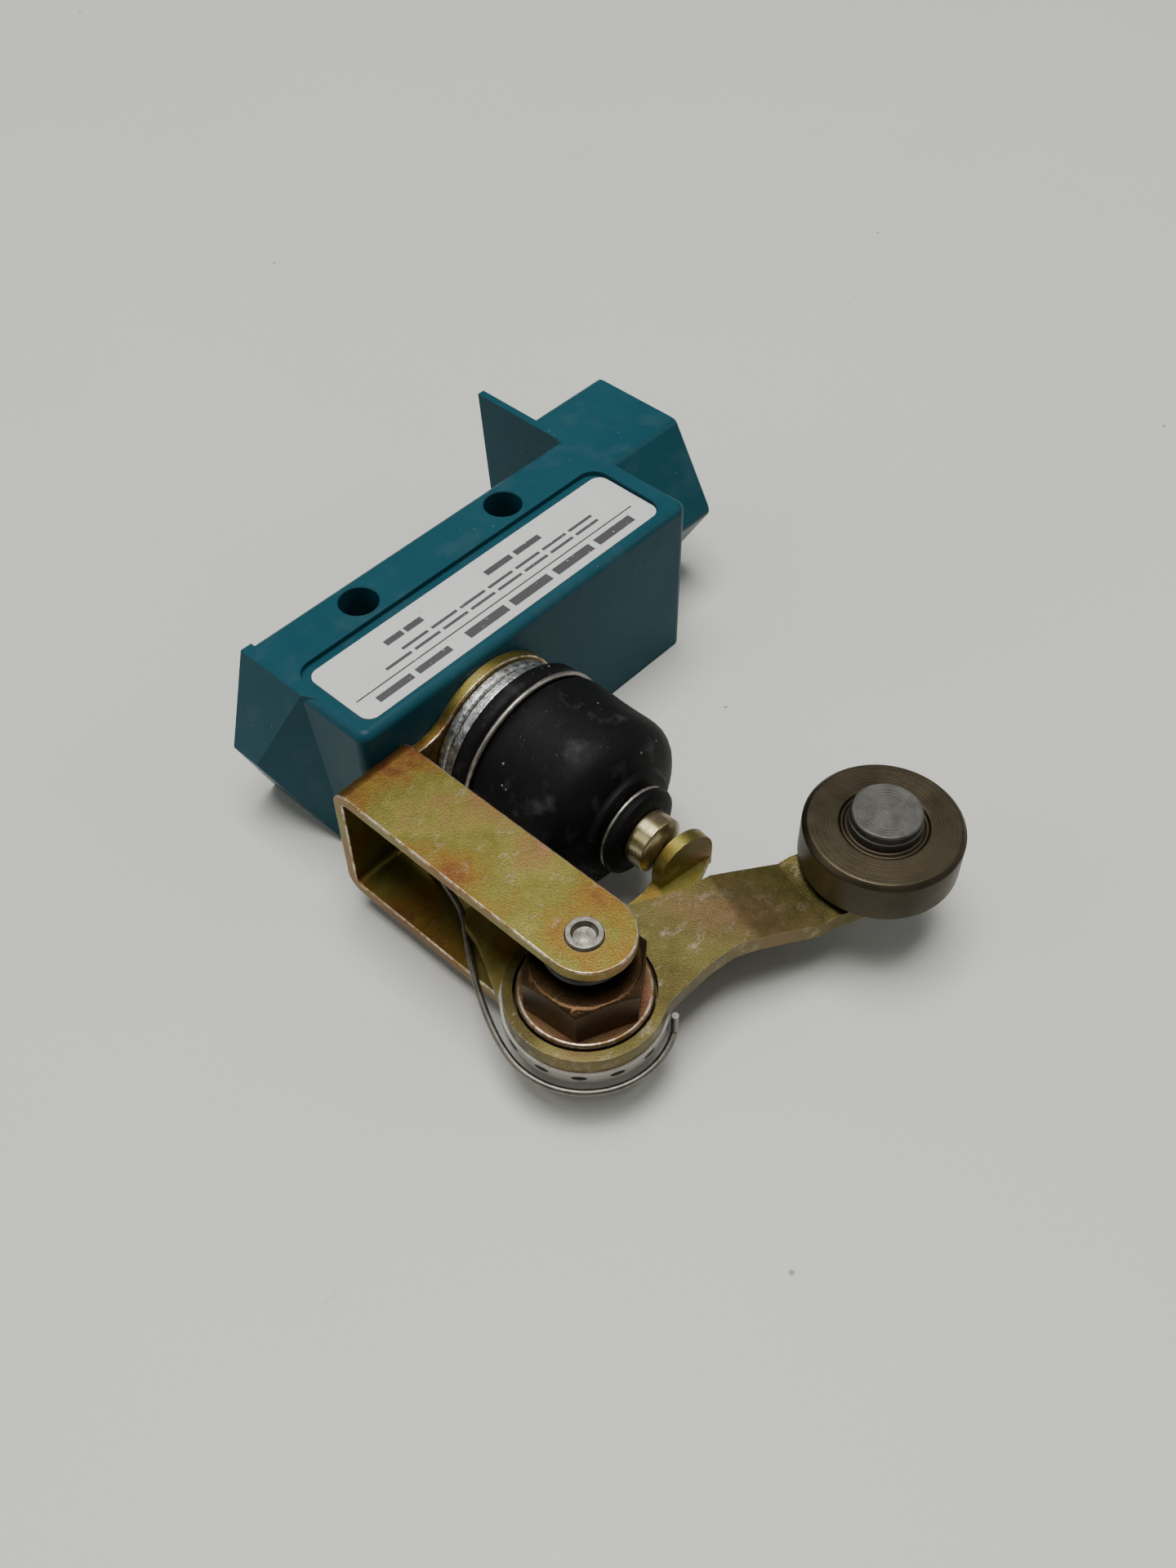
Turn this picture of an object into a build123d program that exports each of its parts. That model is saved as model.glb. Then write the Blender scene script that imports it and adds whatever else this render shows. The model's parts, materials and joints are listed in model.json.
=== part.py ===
from build123d import *
import math
import os

os.makedirs("parts", exist_ok=True)

# Frame: origin midway between the two mounting holes, on the back face of the casting.
# +Z is the normal of the label face, +Y is the side that carries the plunger and the lever,
# and the conduit hub is at -X.

# ------------------------------------------------------------------ driving sizes, mm
body_left = -29.4            # casting block
body_right = 28.1
body_bottom = -4.0
body_top = 18.0
body_depth = 25.0
corner_radius = 1.6
face_radius = 1.2

hole_spacing = 25.4          # two through holes for the mounting screws
hole_radius = 2.58
hole_rim = 0.14
boss_radius = 4.1

hub_left = -42.6             # hexagonal conduit hub
hub_y = -2.4
hub_across_flats = 25.0
hub_bore_radius = 9.6
hub_bore_floor = -30.5
wire_way_y = (-1.6, 6.6)
wire_way_z = (5.5, 19.5)

fin_y_face = -19.8           # thin flange between the hub and the block
fin_y_back = -17.8
fin_x = (-28.7, -27.6)

bulge_reach = 4.3            # faceted swelling on the end wall
bulge_ridge_z = 11.0
bulge_corner = (28.1, 7.2, 25.0)
bulge_ridge_end = (32.4, 0.5, 11.0)
bulge_foot = (28.5, 9.9, 3.2)

label_recess_center = (0.0, 10.0)
label_recess_size = (52.9, 13.0)
label_recess_depth = 0.7
label_size = (51.6, 11.2)
label_thickness = 0.2

cavity_half_length = 25.6
cavity_bottom = -2.2
cavity_top = 15.6
cavity_ceiling = 22.3
rim_half_length = 26.4       # shallow step that takes the rear cover and its gasket
rim_bottom = -2.9
rim_top = 16.4
ledge_z = 2.8
gasket_z = 2.2
cover_back_z = 0.3
post_radius = 2.4
post_places = [(-23.2, -0.7), (23.2, -0.7), (-23.2, 13.2), (23.2, 13.2)]
cover_screw_radius = 1.25
cover_screw_tip = 9.0
screw_gap = 0.03

plunger_x = 9.0              # plunger, boot and bushing share this axis along Y
plunger_z = 12.5
bushing_radius = 7.4
bushing_y = (16.0, 27.0)
stem_radius = 2.95
stem_bore = 3.0
plunger_head_radius = 3.6
plunger_tip = 47.95
dome_radius = 6.7

plate_thickness = 1.6        # lever bracket
web_back = 18.0
strap_x = (22.8, 33.6)
strap_z = (3.5, 21.5)
bend_inside = 0.8
head_radius = 10.8

pivot_x = 28.8
pivot_y = 53.2
rivet_radius = 2.0
pivot_bore = 2.05
strap_end_radius = 5.4

hub_thread_radius = 4.0      # lever hub and what it clamps
hub_thread_bore = 4.05
lever_plate_z = (7.2, 8.8)
arm_z = (8.8, 11.2)
clamp_disc_z = (9.4, 11.6)
nut_z = (11.6, 17.0)
nut_across_flats = 12.7

arm_angle = 160.7            # direction of the roller arm from the pivot, degrees from +X
roller_reach = 39.1
roller_radius = 9.525
roller_z = (10.95, 17.3)
roller_pin_radius = 3.1

tab_x = 7.35                 # upturned tab that presses the plunger
tab_face_y = 48.31
tab_tilt = -8.0
tab_half_width = 4.1

blade_pivot = (-1.0, 10.15)  # rocking contact blade inside the switch
pin_radius = 1.1

# ------------------------------------------------------------------ planes and axes
plunger_plane = Plane(origin=(plunger_x, 0, plunger_z), x_dir=(1, 0, 0), z_dir=(0, 0, 1))
plunger_axis = Axis((plunger_x, 0, plunger_z), (0, 1, 0))
pivot_plane = Plane(origin=(pivot_x, pivot_y, 0), x_dir=(1, 0, 0), z_dir=(0, -1, 0))
pivot_axis = Axis((pivot_x, pivot_y, 0), (0, 0, 1))
arm_dir = (math.cos(math.radians(arm_angle)), math.sin(math.radians(arm_angle)))
roller_x = pivot_x + roller_reach * arm_dir[0]
roller_y = pivot_y + roller_reach * arm_dir[1]
roller_plane = Plane(origin=(roller_x, roller_y, 0), x_dir=(1, 0, 0), z_dir=(0, -1, 0))
roller_axis = Axis((roller_x, roller_y, 0), (0, 0, 1))
hole_places = [(-hole_spacing / 2, 0), (hole_spacing / 2, 0)]


def half_profile(plane, points):
    """Face on a plane from (radius, distance along the axis) points, ready to be turned."""
    with BuildSketch(plane) as face:
        with BuildLine():
            Polyline(*points, close=True)
        make_face()
    return face.sketch


def ring_profile(plane, inner, outer, low, high):
    """Rectangular half profile of a plain ring or tube."""
    return half_profile(plane, [(inner, low), (outer, low), (outer, high), (inner, high)])


def back_outline(half_length, low, high, boss, corner, posts):
    """Outline at the back of the casting that runs round the bosses and the screw posts."""
    with BuildSketch() as outline:
        with Locations((0, (low + high) / 2)):
            RectangleRounded(2 * half_length, high - low, corner)
        with Locations(*hole_places):
            Circle(boss, mode=Mode.SUBTRACT)
            Rectangle(2 * boss, 2 * boss, align=(Align.CENTER, Align.MAX), mode=Mode.SUBTRACT)
        if posts > 0:
            for x, y in post_places:
                side = math.copysign(1.0, x)
                end = math.copysign(1.0, y - hub_y - 5.0)
                with Locations((x, y)):
                    Circle(posts, mode=Mode.SUBTRACT)
                with Locations((x + side * 2 * posts, y), (x, y + end * 2 * posts)):
                    Rectangle(4 * posts, 2 * posts, mode=Mode.SUBTRACT)
                    Rectangle(2 * posts, 4 * posts, mode=Mode.SUBTRACT)
    return outline.sketch


def screw_face(x, y, head, shank, head_back, head_front, tip):
    """Half profile of a cylinder-headed screw that points along +Z."""
    plane = Plane(origin=(x, y, 0), x_dir=(1, 0, 0), z_dir=(0, -1, 0))
    points = [(0, head_back), (head, head_back), (head, head_front), (shank, head_front),
              (shank, tip), (0, tip)]
    return half_profile(plane, points)


# ------------------------------------------------------------------ housing casting
with BuildPart() as end_bulge:
    with BuildSketch(Plane.YZ.offset(body_right - corner_radius)):
        with Locations(((body_bottom + 11.0) / 2, body_depth / 2)):
            Rectangle(11.0 - body_bottom, body_depth)
    extrude(amount=bulge_reach + 2 * corner_radius)
    upper_slope = Plane(origin=(body_right, 0, body_depth),
                        z_dir=(body_depth - bulge_ridge_z, 0, bulge_reach))
    split(bisect_by=upper_slope, keep=Keep.BOTTOM)
    lower_slope = Plane(origin=(body_right, 0, 0), z_dir=(bulge_ridge_z, 0, -bulge_reach))
    split(bisect_by=lower_slope, keep=Keep.BOTTOM)
    down_ridge = Vector(*bulge_ridge_end) - Vector(*bulge_corner)
    down_foot = Vector(*bulge_foot) - Vector(*bulge_corner)
    side_slope = Plane(origin=bulge_corner, z_dir=down_ridge.cross(down_foot))
    split(bisect_by=side_slope, keep=Keep.BOTTOM)

with BuildPart() as hub_prism:
    with BuildSketch(Plane.YZ.offset(hub_left)):
        with Locations((hub_y, body_depth / 2)):
            RegularPolygon(hub_across_flats / 2, 6, major_radius=False)
    extrude(amount=fin_x[1] - 0.2 - hub_left)
    fillet(hub_prism.edges().filter_by(Axis.X), radius=1.5)
    chamfer(hub_prism.faces().sort_by(Axis.X)[0].edges(), length=0.6)

with BuildPart() as hub_root:
    with BuildSketch(Plane.YZ.offset(body_left)):
        with Locations((hub_y, body_depth / 2)):
            RegularPolygon(hub_across_flats / 2, 6, major_radius=False)
    extrude(amount=corner_radius + 0.4)
    fillet(hub_root.edges().filter_by(Axis.X), radius=1.5)
    with Locations((body_left, body_bottom, 0)):
        Box(2 * corner_radius + 0.8, body_top - body_bottom, body_depth,
            align=(Align.CENTER, Align.MIN, Align.MIN), mode=Mode.INTERSECT)

with BuildPart() as housing:
    with BuildSketch():
        with Locations(((body_left + body_right) / 2, (body_bottom + body_top) / 2)):
            Rectangle(body_right - body_left, body_top - body_bottom)
    extrude(amount=body_depth)
    fillet(housing.edges().filter_by(Axis.Z), radius=corner_radius)
    fillet(housing.faces().sort_by(Axis.Z)[-1].edges(), radius=face_radius)
    add(end_bulge.part)
    add(hub_prism.part)
    add(hub_root.part)
    with BuildSketch(Plane.YZ.offset(fin_x[0])):
        with BuildLine():
            Polyline((body_bottom + 2, 0), (fin_y_back, 0), (fin_y_face, body_depth),
                     (body_bottom + 2, body_depth), close=True)
        make_face()
    extrude(amount=fin_x[1] - fin_x[0])
    # label recess
    with BuildSketch(Plane.XY.offset(body_depth)):
        with Locations(label_recess_center):
            RectangleRounded(*label_recess_size, 2.5)
    extrude(amount=-label_recess_depth, mode=Mode.SUBTRACT)
    # chamber for the switch, then the shallow step for the cover
    with BuildSketch():
        add(back_outline(cavity_half_length, cavity_bottom, cavity_top, boss_radius, 1.0,
                         post_radius))
    extrude(amount=cavity_ceiling, mode=Mode.SUBTRACT)
    with BuildSketch():
        add(back_outline(rim_half_length, rim_bottom, rim_top, boss_radius, 1.5, 0))
    extrude(amount=ledge_z, mode=Mode.SUBTRACT)
    # mounting holes
    with BuildSketch():
        with Locations(*hole_places):
            Circle(hole_radius)
    extrude(amount=body_depth, mode=Mode.SUBTRACT)
    rims = housing.edges().filter_by(GeomType.CIRCLE)
    rims = rims.filter_by(lambda edge: abs(edge.radius - hole_radius) < 0.001)
    chamfer(rims.group_by(Axis.Z)[-1], length=hole_rim)
    # conduit bore and the way for the wires
    with BuildSketch(Plane.YZ.offset(hub_left)):
        with Locations((hub_y, body_depth / 2)):
            Circle(hub_bore_radius)
    extrude(amount=hub_bore_floor - hub_left, mode=Mode.SUBTRACT)
    with BuildSketch(Plane.YZ.offset(hub_bore_floor)):
        with Locations((sum(wire_way_y) / 2, sum(wire_way_z) / 2)):
            RectangleRounded(wire_way_y[1] - wire_way_y[0], wire_way_z[1] - wire_way_z[0], 2.0)
    extrude(amount=-cavity_half_length + 0.5 - hub_bore_floor, mode=Mode.SUBTRACT)
    # bushing hole in the plunger wall
    with BuildSketch(Plane.XZ.offset(-body_top)):
        with Locations((plunger_x, plunger_z)):
            Circle(bushing_radius + screw_gap)
    extrude(amount=body_top - cavity_top + 1.0, mode=Mode.SUBTRACT)
    # tapped holes: four cover screws, two switch screws, one ground screw
    with BuildSketch(Plane.XY.offset(ledge_z)):
        with Locations(*post_places):
            Circle(cover_screw_radius + screw_gap)
    extrude(amount=cover_screw_tip - ledge_z + 0.5, mode=Mode.SUBTRACT)
    with BuildSketch(Plane.XY.offset(cavity_ceiling)):
        with Locations((-17.6, 10.0), (17.6, 10.0), (-23.0, 5.6)):
            Circle(1.45 + screw_gap)
    extrude(amount=1.3, mode=Mode.SUBTRACT)
housing.part.label = "housing"
export_step(housing.part, "parts/housing.step")

with BuildPart() as label_plate:
    with BuildSketch(Plane.XY.offset(body_depth - label_recess_depth)):
        with Locations((-0.4, 10.4)):
            RectangleRounded(*label_size, 1.6)
    extrude(amount=label_thickness)
label_plate.part.label = "label_plate"
export_step(label_plate.part, "parts/label_plate.step")

# ------------------------------------------------------------------ rear cover
with BuildPart() as rear_cover:
    with BuildSketch(Plane.XY.offset(cover_back_z)):
        add(back_outline(rim_half_length - 0.2, rim_bottom + 0.2, rim_top - 0.2,
                         boss_radius + 0.2, 1.3, 0))
        with Locations(*post_places):
            Circle(cover_screw_radius + 0.15, mode=Mode.SUBTRACT)
    extrude(amount=gasket_z - cover_back_z)
    for x, y in post_places:
        with Locations((x, y, cover_back_z)):
            Cone(2.4, 1.25, 1.15, align=(Align.CENTER, Align.CENTER, Align.MIN),
                 mode=Mode.SUBTRACT)
rear_cover.part.label = "rear_cover"
export_step(rear_cover.part, "parts/rear_cover.step")

with BuildPart() as rear_gasket:
    with BuildSketch(Plane.XY.offset(gasket_z)):
        add(back_outline(rim_half_length - 0.3, rim_bottom + 0.3, rim_top - 0.3,
                         boss_radius + 0.2, 1.3, 0))
        with Locations((0, (cavity_bottom + cavity_top) / 2)):
            Rectangle(2 * cavity_half_length - 9.6, cavity_top - cavity_bottom - 2.4,
                      mode=Mode.SUBTRACT)
        with Locations(*hole_places):
            Circle(boss_radius + 1.4)
            Circle(boss_radius + 0.2, mode=Mode.SUBTRACT)
            Rectangle(2 * boss_radius + 0.4, 2 * boss_radius, align=(Align.CENTER, Align.MAX),
                      mode=Mode.SUBTRACT)
        with Locations((0, rim_bottom - 2.7)):
            Rectangle(2 * rim_half_length, 6.0, mode=Mode.SUBTRACT)
        with Locations(*post_places):
            Circle(cover_screw_radius + 0.15, mode=Mode.SUBTRACT)
    extrude(amount=ledge_z - gasket_z)
rear_gasket.part.label = "rear_gasket"
export_step(rear_gasket.part, "parts/rear_gasket.step")

with BuildPart() as cover_screws:
    for x, y in post_places:
        plane = Plane(origin=(x, y, 0), x_dir=(1, 0, 0), z_dir=(0, -1, 0))
        points = [(0, 0.4), (2.1, 0.4), (1.25, 1.3), (1.25, cover_screw_tip),
                  (0, cover_screw_tip)]
        revolve(half_profile(plane, points), axis=Axis((x, y, 0), (0, 0, 1)))
        with Locations((x, y, 0.4)):
            Box(3.6, 0.5, 1.0, mode=Mode.SUBTRACT)
cover_screws.part.label = "cover_screws"
export_step(cover_screws.part, "parts/cover_screws.step")

# ------------------------------------------------------------------ lever bracket
with BuildPart() as mounting_bracket:
    with BuildSketch(Plane.YZ.offset(strap_x[0])):
        with Locations(((web_back + 70) / 2, sum(strap_z) / 2)):
            RectangleRounded(70 - web_back, strap_z[1] - strap_z[0],
                             bend_inside + plate_thickness)
        with Locations(((web_back + plate_thickness + 75) / 2, sum(strap_z) / 2)):
            RectangleRounded(75 - web_back - plate_thickness,
                             strap_z[1] - strap_z[0] - 2 * plate_thickness, bend_inside,
                             mode=Mode.SUBTRACT)
    extrude(amount=strap_x[1] - strap_x[0])
    with BuildSketch():
        with Locations((sum(strap_x) / 2, (web_back + pivot_y) / 2)):
            Rectangle(strap_x[1] - strap_x[0], pivot_y - web_back)
        with Locations((sum(strap_x) / 2, pivot_y)):
            Circle(strap_end_radius)
    extrude(amount=body_depth, mode=Mode.INTERSECT)
    with BuildSketch(Plane.XZ.offset(-web_back)):
        with BuildLine():
            Polyline((plunger_x, 20.0), (16.6, 20.1), (18.2, 19.2), (20.2, 18.8),
                     (strap_x[0] + 1, 18.9), (strap_x[0] + 1, 6.1), (20.2, 6.2), (18.2, 5.8),
                     (16.6, 4.9), (plunger_x, 5.0), close=True)
        make_face()
        with Locations((plunger_x, plunger_z)):
            Circle(head_radius)
    extrude(amount=-plate_thickness)
    with BuildSketch(Plane.XZ.offset(-web_back)):
        with Locations((plunger_x, plunger_z)):
            Circle(bushing_radius + screw_gap)
    extrude(amount=-plate_thickness, mode=Mode.SUBTRACT)
    with BuildSketch():
        with Locations((pivot_x, pivot_y)):
            Circle(pivot_bore)
    extrude(amount=body_depth, mode=Mode.SUBTRACT)
mounting_bracket.part.label = "mounting_bracket"
export_step(mounting_bracket.part, "parts/mounting_bracket.step")

with BuildPart() as pivot_rivet:
    revolve(half_profile(pivot_plane, [(0, 2.6), (2.4, 2.3), (3.0, 2.6), (3.2, 3.2), (3.2, 3.5),
                                       (rivet_radius, 3.5), (rivet_radius, 21.5), (2.1, 21.5),
                                       (2.2, 21.7), (2.05, 21.95), (1.5, 21.95), (1.35, 21.6),
                                       (1.3, 21.1), (0.9, 21.1), (0, 21.25)]), axis=pivot_axis)
pivot_rivet.part.label = "pivot_rivet"
export_step(pivot_rivet.part, "parts/pivot_rivet.step")

# ------------------------------------------------------------------ bushing, washer, nut, boot
with BuildPart() as plunger_bushing:
    revolve(half_profile(plunger_plane, [(stem_bore, bushing_y[0]),
                                         (bushing_radius - 0.4, bushing_y[0]),
                                         (bushing_radius, bushing_y[0] + 0.4),
                                         (bushing_radius, 25.2), (5.6, 25.4),
                                         (5.6, bushing_y[1]), (stem_bore, bushing_y[1])]),
            axis=plunger_axis)
plunger_bushing.part.label = "plunger_bushing"
export_step(plunger_bushing.part, "parts/plunger_bushing.step")

with BuildPart() as lock_washer:
    revolve(ring_profile(plunger_plane, bushing_radius + screw_gap, 10.4, 19.6, 21.0),
            axis=plunger_axis)
    rims = lock_washer.edges().filter_by(GeomType.CIRCLE).group_by(SortBy.RADIUS)[-1]
    chamfer(rims, length=0.25)
lock_washer.part.label = "lock_washer"
export_step(lock_washer.part, "parts/lock_washer.step")

with BuildPart() as clamp_nut:
    revolve(half_profile(plunger_plane, [(bushing_radius + screw_gap, 21.0), (9.9, 21.0),
                                         (10.2, 21.3), (10.8, 21.5), (10.8, 22.6), (10.4, 23.0),
                                         (bushing_radius + screw_gap, 23.0)]),
            axis=plunger_axis)
clamp_nut.part.label = "clamp_nut"
export_step(clamp_nut.part, "parts/clamp_nut.step")

with BuildPart() as boot:
    with BuildSketch(plunger_plane):
        with BuildLine():
            Polyline((10.9, 38.2), (10.9, 25.8), (bushing_radius + 0.05, 25.3),
                     (bushing_radius + 0.05, 23.0), (11.2, 23.0), (11.9, 23.6), (11.9, 24.9),
                     (11.25, 25.5), (11.25, 26.5), (11.95, 27.0), (11.95, 36.4))
            Spline((11.95, 36.4), (11.75, 38.2), (10.9, 39.7), (8.6, 40.8), (7.3, 41.2))
            Polyline((7.3, 41.2), (7.1, 41.9), (6.4, 42.2), (5.1, 42.3), (5.1, 42.9), (5.9, 43.1),
                     (5.6, 43.9), (4.6, 44.3), (3.0, 44.3), (3.0, 41.3), (5.6, 40.9), (7.6, 40.0),
                     (10.0, 39.2), (10.9, 38.2))
        make_face()
    revolve(axis=plunger_axis)
boot.part.label = "boot"
export_step(boot.part, "parts/boot.step")

with BuildPart() as boot_clamp_ring:
    with BuildSketch(plunger_plane):
        with Locations((11.7, 26.0)):
            Circle(0.38)
    revolve(axis=plunger_axis)
boot_clamp_ring.part.label = "boot_clamp_ring"
export_step(boot_clamp_ring.part, "parts/boot_clamp_ring.step")

with BuildPart() as boot_neck_ring:
    with BuildSketch(plunger_plane):
        with Locations((5.45, 42.6)):
            Circle(0.29)
    revolve(axis=plunger_axis)
boot_neck_ring.part.label = "boot_neck_ring"
export_step(boot_neck_ring.part, "parts/boot_neck_ring.step")

# ------------------------------------------------------------------ plunger train
dome_angle = math.asin(plunger_head_radius / dome_radius)
dome_center = plunger_tip - dome_radius
dome_edge = (plunger_head_radius, dome_center + dome_radius * math.cos(dome_angle))
dome_middle = (dome_radius * math.sin(dome_angle / 2),
               dome_center + dome_radius * math.cos(dome_angle / 2))
with BuildPart() as plunger:
    with BuildSketch(plunger_plane):
        with BuildLine():
            Polyline((0, plunger_tip), (0, 38.0), (2.2, 38.0), (2.2, 21.6), (stem_radius, 21.6),
                     (stem_radius, 39.2), (4.6, 39.2), (4.6, 40.0), (stem_radius, 40.0),
                     (stem_radius, 44.35), (plunger_head_radius, 44.35), dome_edge)
            ThreePointArc(dome_edge, dome_middle, (0, plunger_tip))
        make_face()
    revolve(axis=plunger_axis)
plunger.part.label = "plunger"
export_step(plunger.part, "parts/plunger.step")

with BuildPart() as actuator_rod:
    revolve(half_profile(plunger_plane, [(0, 16.65), (1.6, 16.65), (2.12, 17.2), (2.12, 26.0),
                                         (0, 26.0)]), axis=plunger_axis)
actuator_rod.part.label = "actuator_rod"
export_step(actuator_rod.part, "parts/actuator_rod.step")


def spring_solid(low, high, turns, coil, wire):
    """Helical compression spring on the plunger axis, from low to high along Y."""
    span = high - low - 2 * wire
    start = (plunger_x, low + wire, plunger_z)
    with BuildPart() as spring:
        with BuildLine() as line:
            Helix(span / turns, span, coil, center=start, direction=(0, 1, 0))
        wire_line = line.edges()[0]
        with BuildSketch(Plane(origin=wire_line @ 0, z_dir=wire_line % 0)):
            Circle(wire)
        sweep(path=wire_line, is_frenet=True)
    return spring.part


with BuildPart() as return_spring:
    add(spring_solid(27.05, 39.15, 6, 4.15, 0.35))
return_spring.part.label = "return_spring"
export_step(return_spring.part, "parts/return_spring.step")

with BuildPart() as overtravel_spring:
    add(spring_solid(26.05, 37.95, 7, 1.7, 0.25))
overtravel_spring.part.label = "overtravel_spring"
export_step(overtravel_spring.part, "parts/overtravel_spring.step")

# ------------------------------------------------------------------ lever
with BuildPart() as lever_hub:
    revolve(half_profile(pivot_plane, [(pivot_bore, 5.6), (5.8, 5.6), (6.0, 5.8), (6.0, 7.2),
                                       (hub_thread_radius, 7.2), (hub_thread_radius, 18.3),
                                       (hub_thread_radius - 0.4, 18.7), (pivot_bore, 18.7)]),
            axis=pivot_axis)
lever_hub.part.label = "lever_hub"
export_step(lever_hub.part, "parts/lever_hub.step")

with BuildPart() as lower_washer:
    revolve(ring_profile(pivot_plane, pivot_bore, 4.6, 5.15, 5.55), axis=pivot_axis)
lower_washer.part.label = "lower_washer"
export_step(lower_washer.part, "parts/lower_washer.step")

with BuildPart() as upper_washer:
    revolve(ring_profile(pivot_plane, pivot_bore, 4.7, 18.7, 19.7), axis=pivot_axis)
    rims = upper_washer.edges().filter_by(GeomType.CIRCLE).group_by(SortBy.RADIUS)[-1]
    chamfer(rims, length=0.2)
upper_washer.part.label = "upper_washer"
export_step(upper_washer.part, "parts/upper_washer.step")

tab_cos = math.cos(math.radians(tab_tilt))
tab_sin = math.sin(math.radians(tab_tilt))
tab_plane = Plane(origin=(tab_x, tab_face_y, 0), x_dir=(tab_cos, tab_sin, 0),
                  z_dir=(tab_sin, -tab_cos, 0))
with BuildPart() as inner_lever:
    with BuildSketch(Plane.XY.offset(lever_plate_z[0])):
        with Locations((pivot_x, pivot_y)):
            Circle(9.6)
        with BuildLine():
            Polyline((3.3, 48.9), (11.4, 47.75), (13.0, 48.1), (20.6, 47.9), (pivot_x, pivot_y),
                     (20.2, 57.6), (12.0, 53.6), (3.55, 50.3), close=True)
        make_face()
        with BuildLine():
            Polyline((pivot_x, pivot_y), (36.87, 49.07), (31.4, 38.4), (30.6, 35.6), (29.2, 34.4),
                     (27.4, 34.6), (26.4, 36.4), (25.2, 44.4), close=True)
        make_face()
    extrude(amount=lever_plate_z[1] - lever_plate_z[0])
    with BuildSketch(tab_plane):
        with Locations((0, (lever_plate_z[0] + 10.3) / 2)):
            Rectangle(2 * tab_half_width, 10.3 - lever_plate_z[0])
        with Locations((0, 10.3)):
            Circle(tab_half_width)
        with Locations((0, lever_plate_z[0])):
            Rectangle(4 * tab_half_width, 3 * tab_half_width, align=(Align.CENTER, Align.MAX),
                      mode=Mode.SUBTRACT)
    extrude(amount=-plate_thickness)
    with BuildSketch(Plane.XY.offset(lever_plate_z[0])):
        with Locations((pivot_x, pivot_y)):
            Circle(hub_thread_bore)
    extrude(amount=lever_plate_z[1] - lever_plate_z[0], mode=Mode.SUBTRACT)
inner_lever.part.label = "inner_lever"
export_step(inner_lever.part, "parts/inner_lever.step")

arm_plan = Plane(origin=(pivot_x, pivot_y, 0), x_dir=(arm_dir[0], arm_dir[1], 0),
                 z_dir=(0, 0, 1))
arm_side = Plane(origin=(pivot_x, pivot_y, 0), x_dir=(arm_dir[0], arm_dir[1], 0),
                 z_dir=(arm_dir[1], -arm_dir[0], 0))
arm_thickness = arm_z[1] - arm_z[0]
arm_tops = [(-12.0, 11.2), (19.8, 11.2), (28.8, 9.7), (30.3, 10.4), (50.0, 10.4)]
arm_bottoms = [(x, top - arm_thickness) for x, top in reversed(arm_tops)]
with BuildPart() as roller_arm:
    with BuildSketch(arm_plan):
        Circle(9.3)
        with BuildLine():
            Polyline((0, 0), (2.6, -8.9), (4.5, -7.3), (8.6, -5.5), (13.8, -3.8), (17.5, -3.1),
                     (21.5, -3.5), (28.0, -4.4), (32.5, -4.9), (roller_reach, -5.1),
                     (roller_reach, 5.1), (31.0, 5.2), (28.5, 5.5), (23.3, 6.4), (20.2, 6.9),
                     (16.6, 6.5), (11.6, 7.3), (3.6, 8.6), close=True)
        make_face()
        with Locations((roller_reach, 0)):
            Circle(5.1)
    extrude(amount=body_depth)
    with BuildSketch(arm_side):
        with BuildLine():
            Polyline(*arm_tops, *arm_bottoms, close=True)
        make_face()
    extrude(amount=20, both=True, mode=Mode.INTERSECT)
    with BuildSketch(arm_plan.offset(arm_z[0])):
        Circle(hub_thread_bore)
        with Locations((roller_reach, 0)):
            Circle(roller_pin_radius - 0.6)
    extrude(amount=10, both=True, mode=Mode.SUBTRACT)
    with BuildSketch(arm_plan.offset(clamp_disc_z[0])):
        Circle(8.1)
    extrude(amount=5, mode=Mode.SUBTRACT)
roller_arm.part.label = "roller_arm"
export_step(roller_arm.part, "parts/roller_arm.step")

with BuildPart() as clamp_disc:
    revolve(ring_profile(pivot_plane, hub_thread_bore, 7.8, *clamp_disc_z), axis=pivot_axis)
    rims = clamp_disc.edges().filter_by(GeomType.CIRCLE).group_by(SortBy.RADIUS)[-1]
    chamfer(rims.group_by(Axis.Z)[-1], length=0.3)
clamp_disc.part.label = "clamp_disc"
export_step(clamp_disc.part, "parts/clamp_disc.step")

with BuildPart() as hex_nut:
    with BuildSketch(Plane.XY.offset(nut_z[0])):
        with Locations((pivot_x, pivot_y)):
            RegularPolygon(nut_across_flats / 2, 6, major_radius=False, rotation=35)
    extrude(amount=nut_z[1] - nut_z[0])
    crown = [(0, nut_z[0]), (7.4, nut_z[0]), (7.4, nut_z[1] - 0.8), (6.0, nut_z[1]),
             (0, nut_z[1])]
    revolve(half_profile(pivot_plane, crown), axis=pivot_axis, mode=Mode.INTERSECT)
    with BuildSketch(Plane.XY.offset(nut_z[0])):
        with Locations((pivot_x, pivot_y)):
            Circle(hub_thread_bore)
    extrude(amount=nut_z[1] - nut_z[0], mode=Mode.SUBTRACT)
hex_nut.part.label = "hex_nut"
export_step(hex_nut.part, "parts/hex_nut.step")

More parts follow.
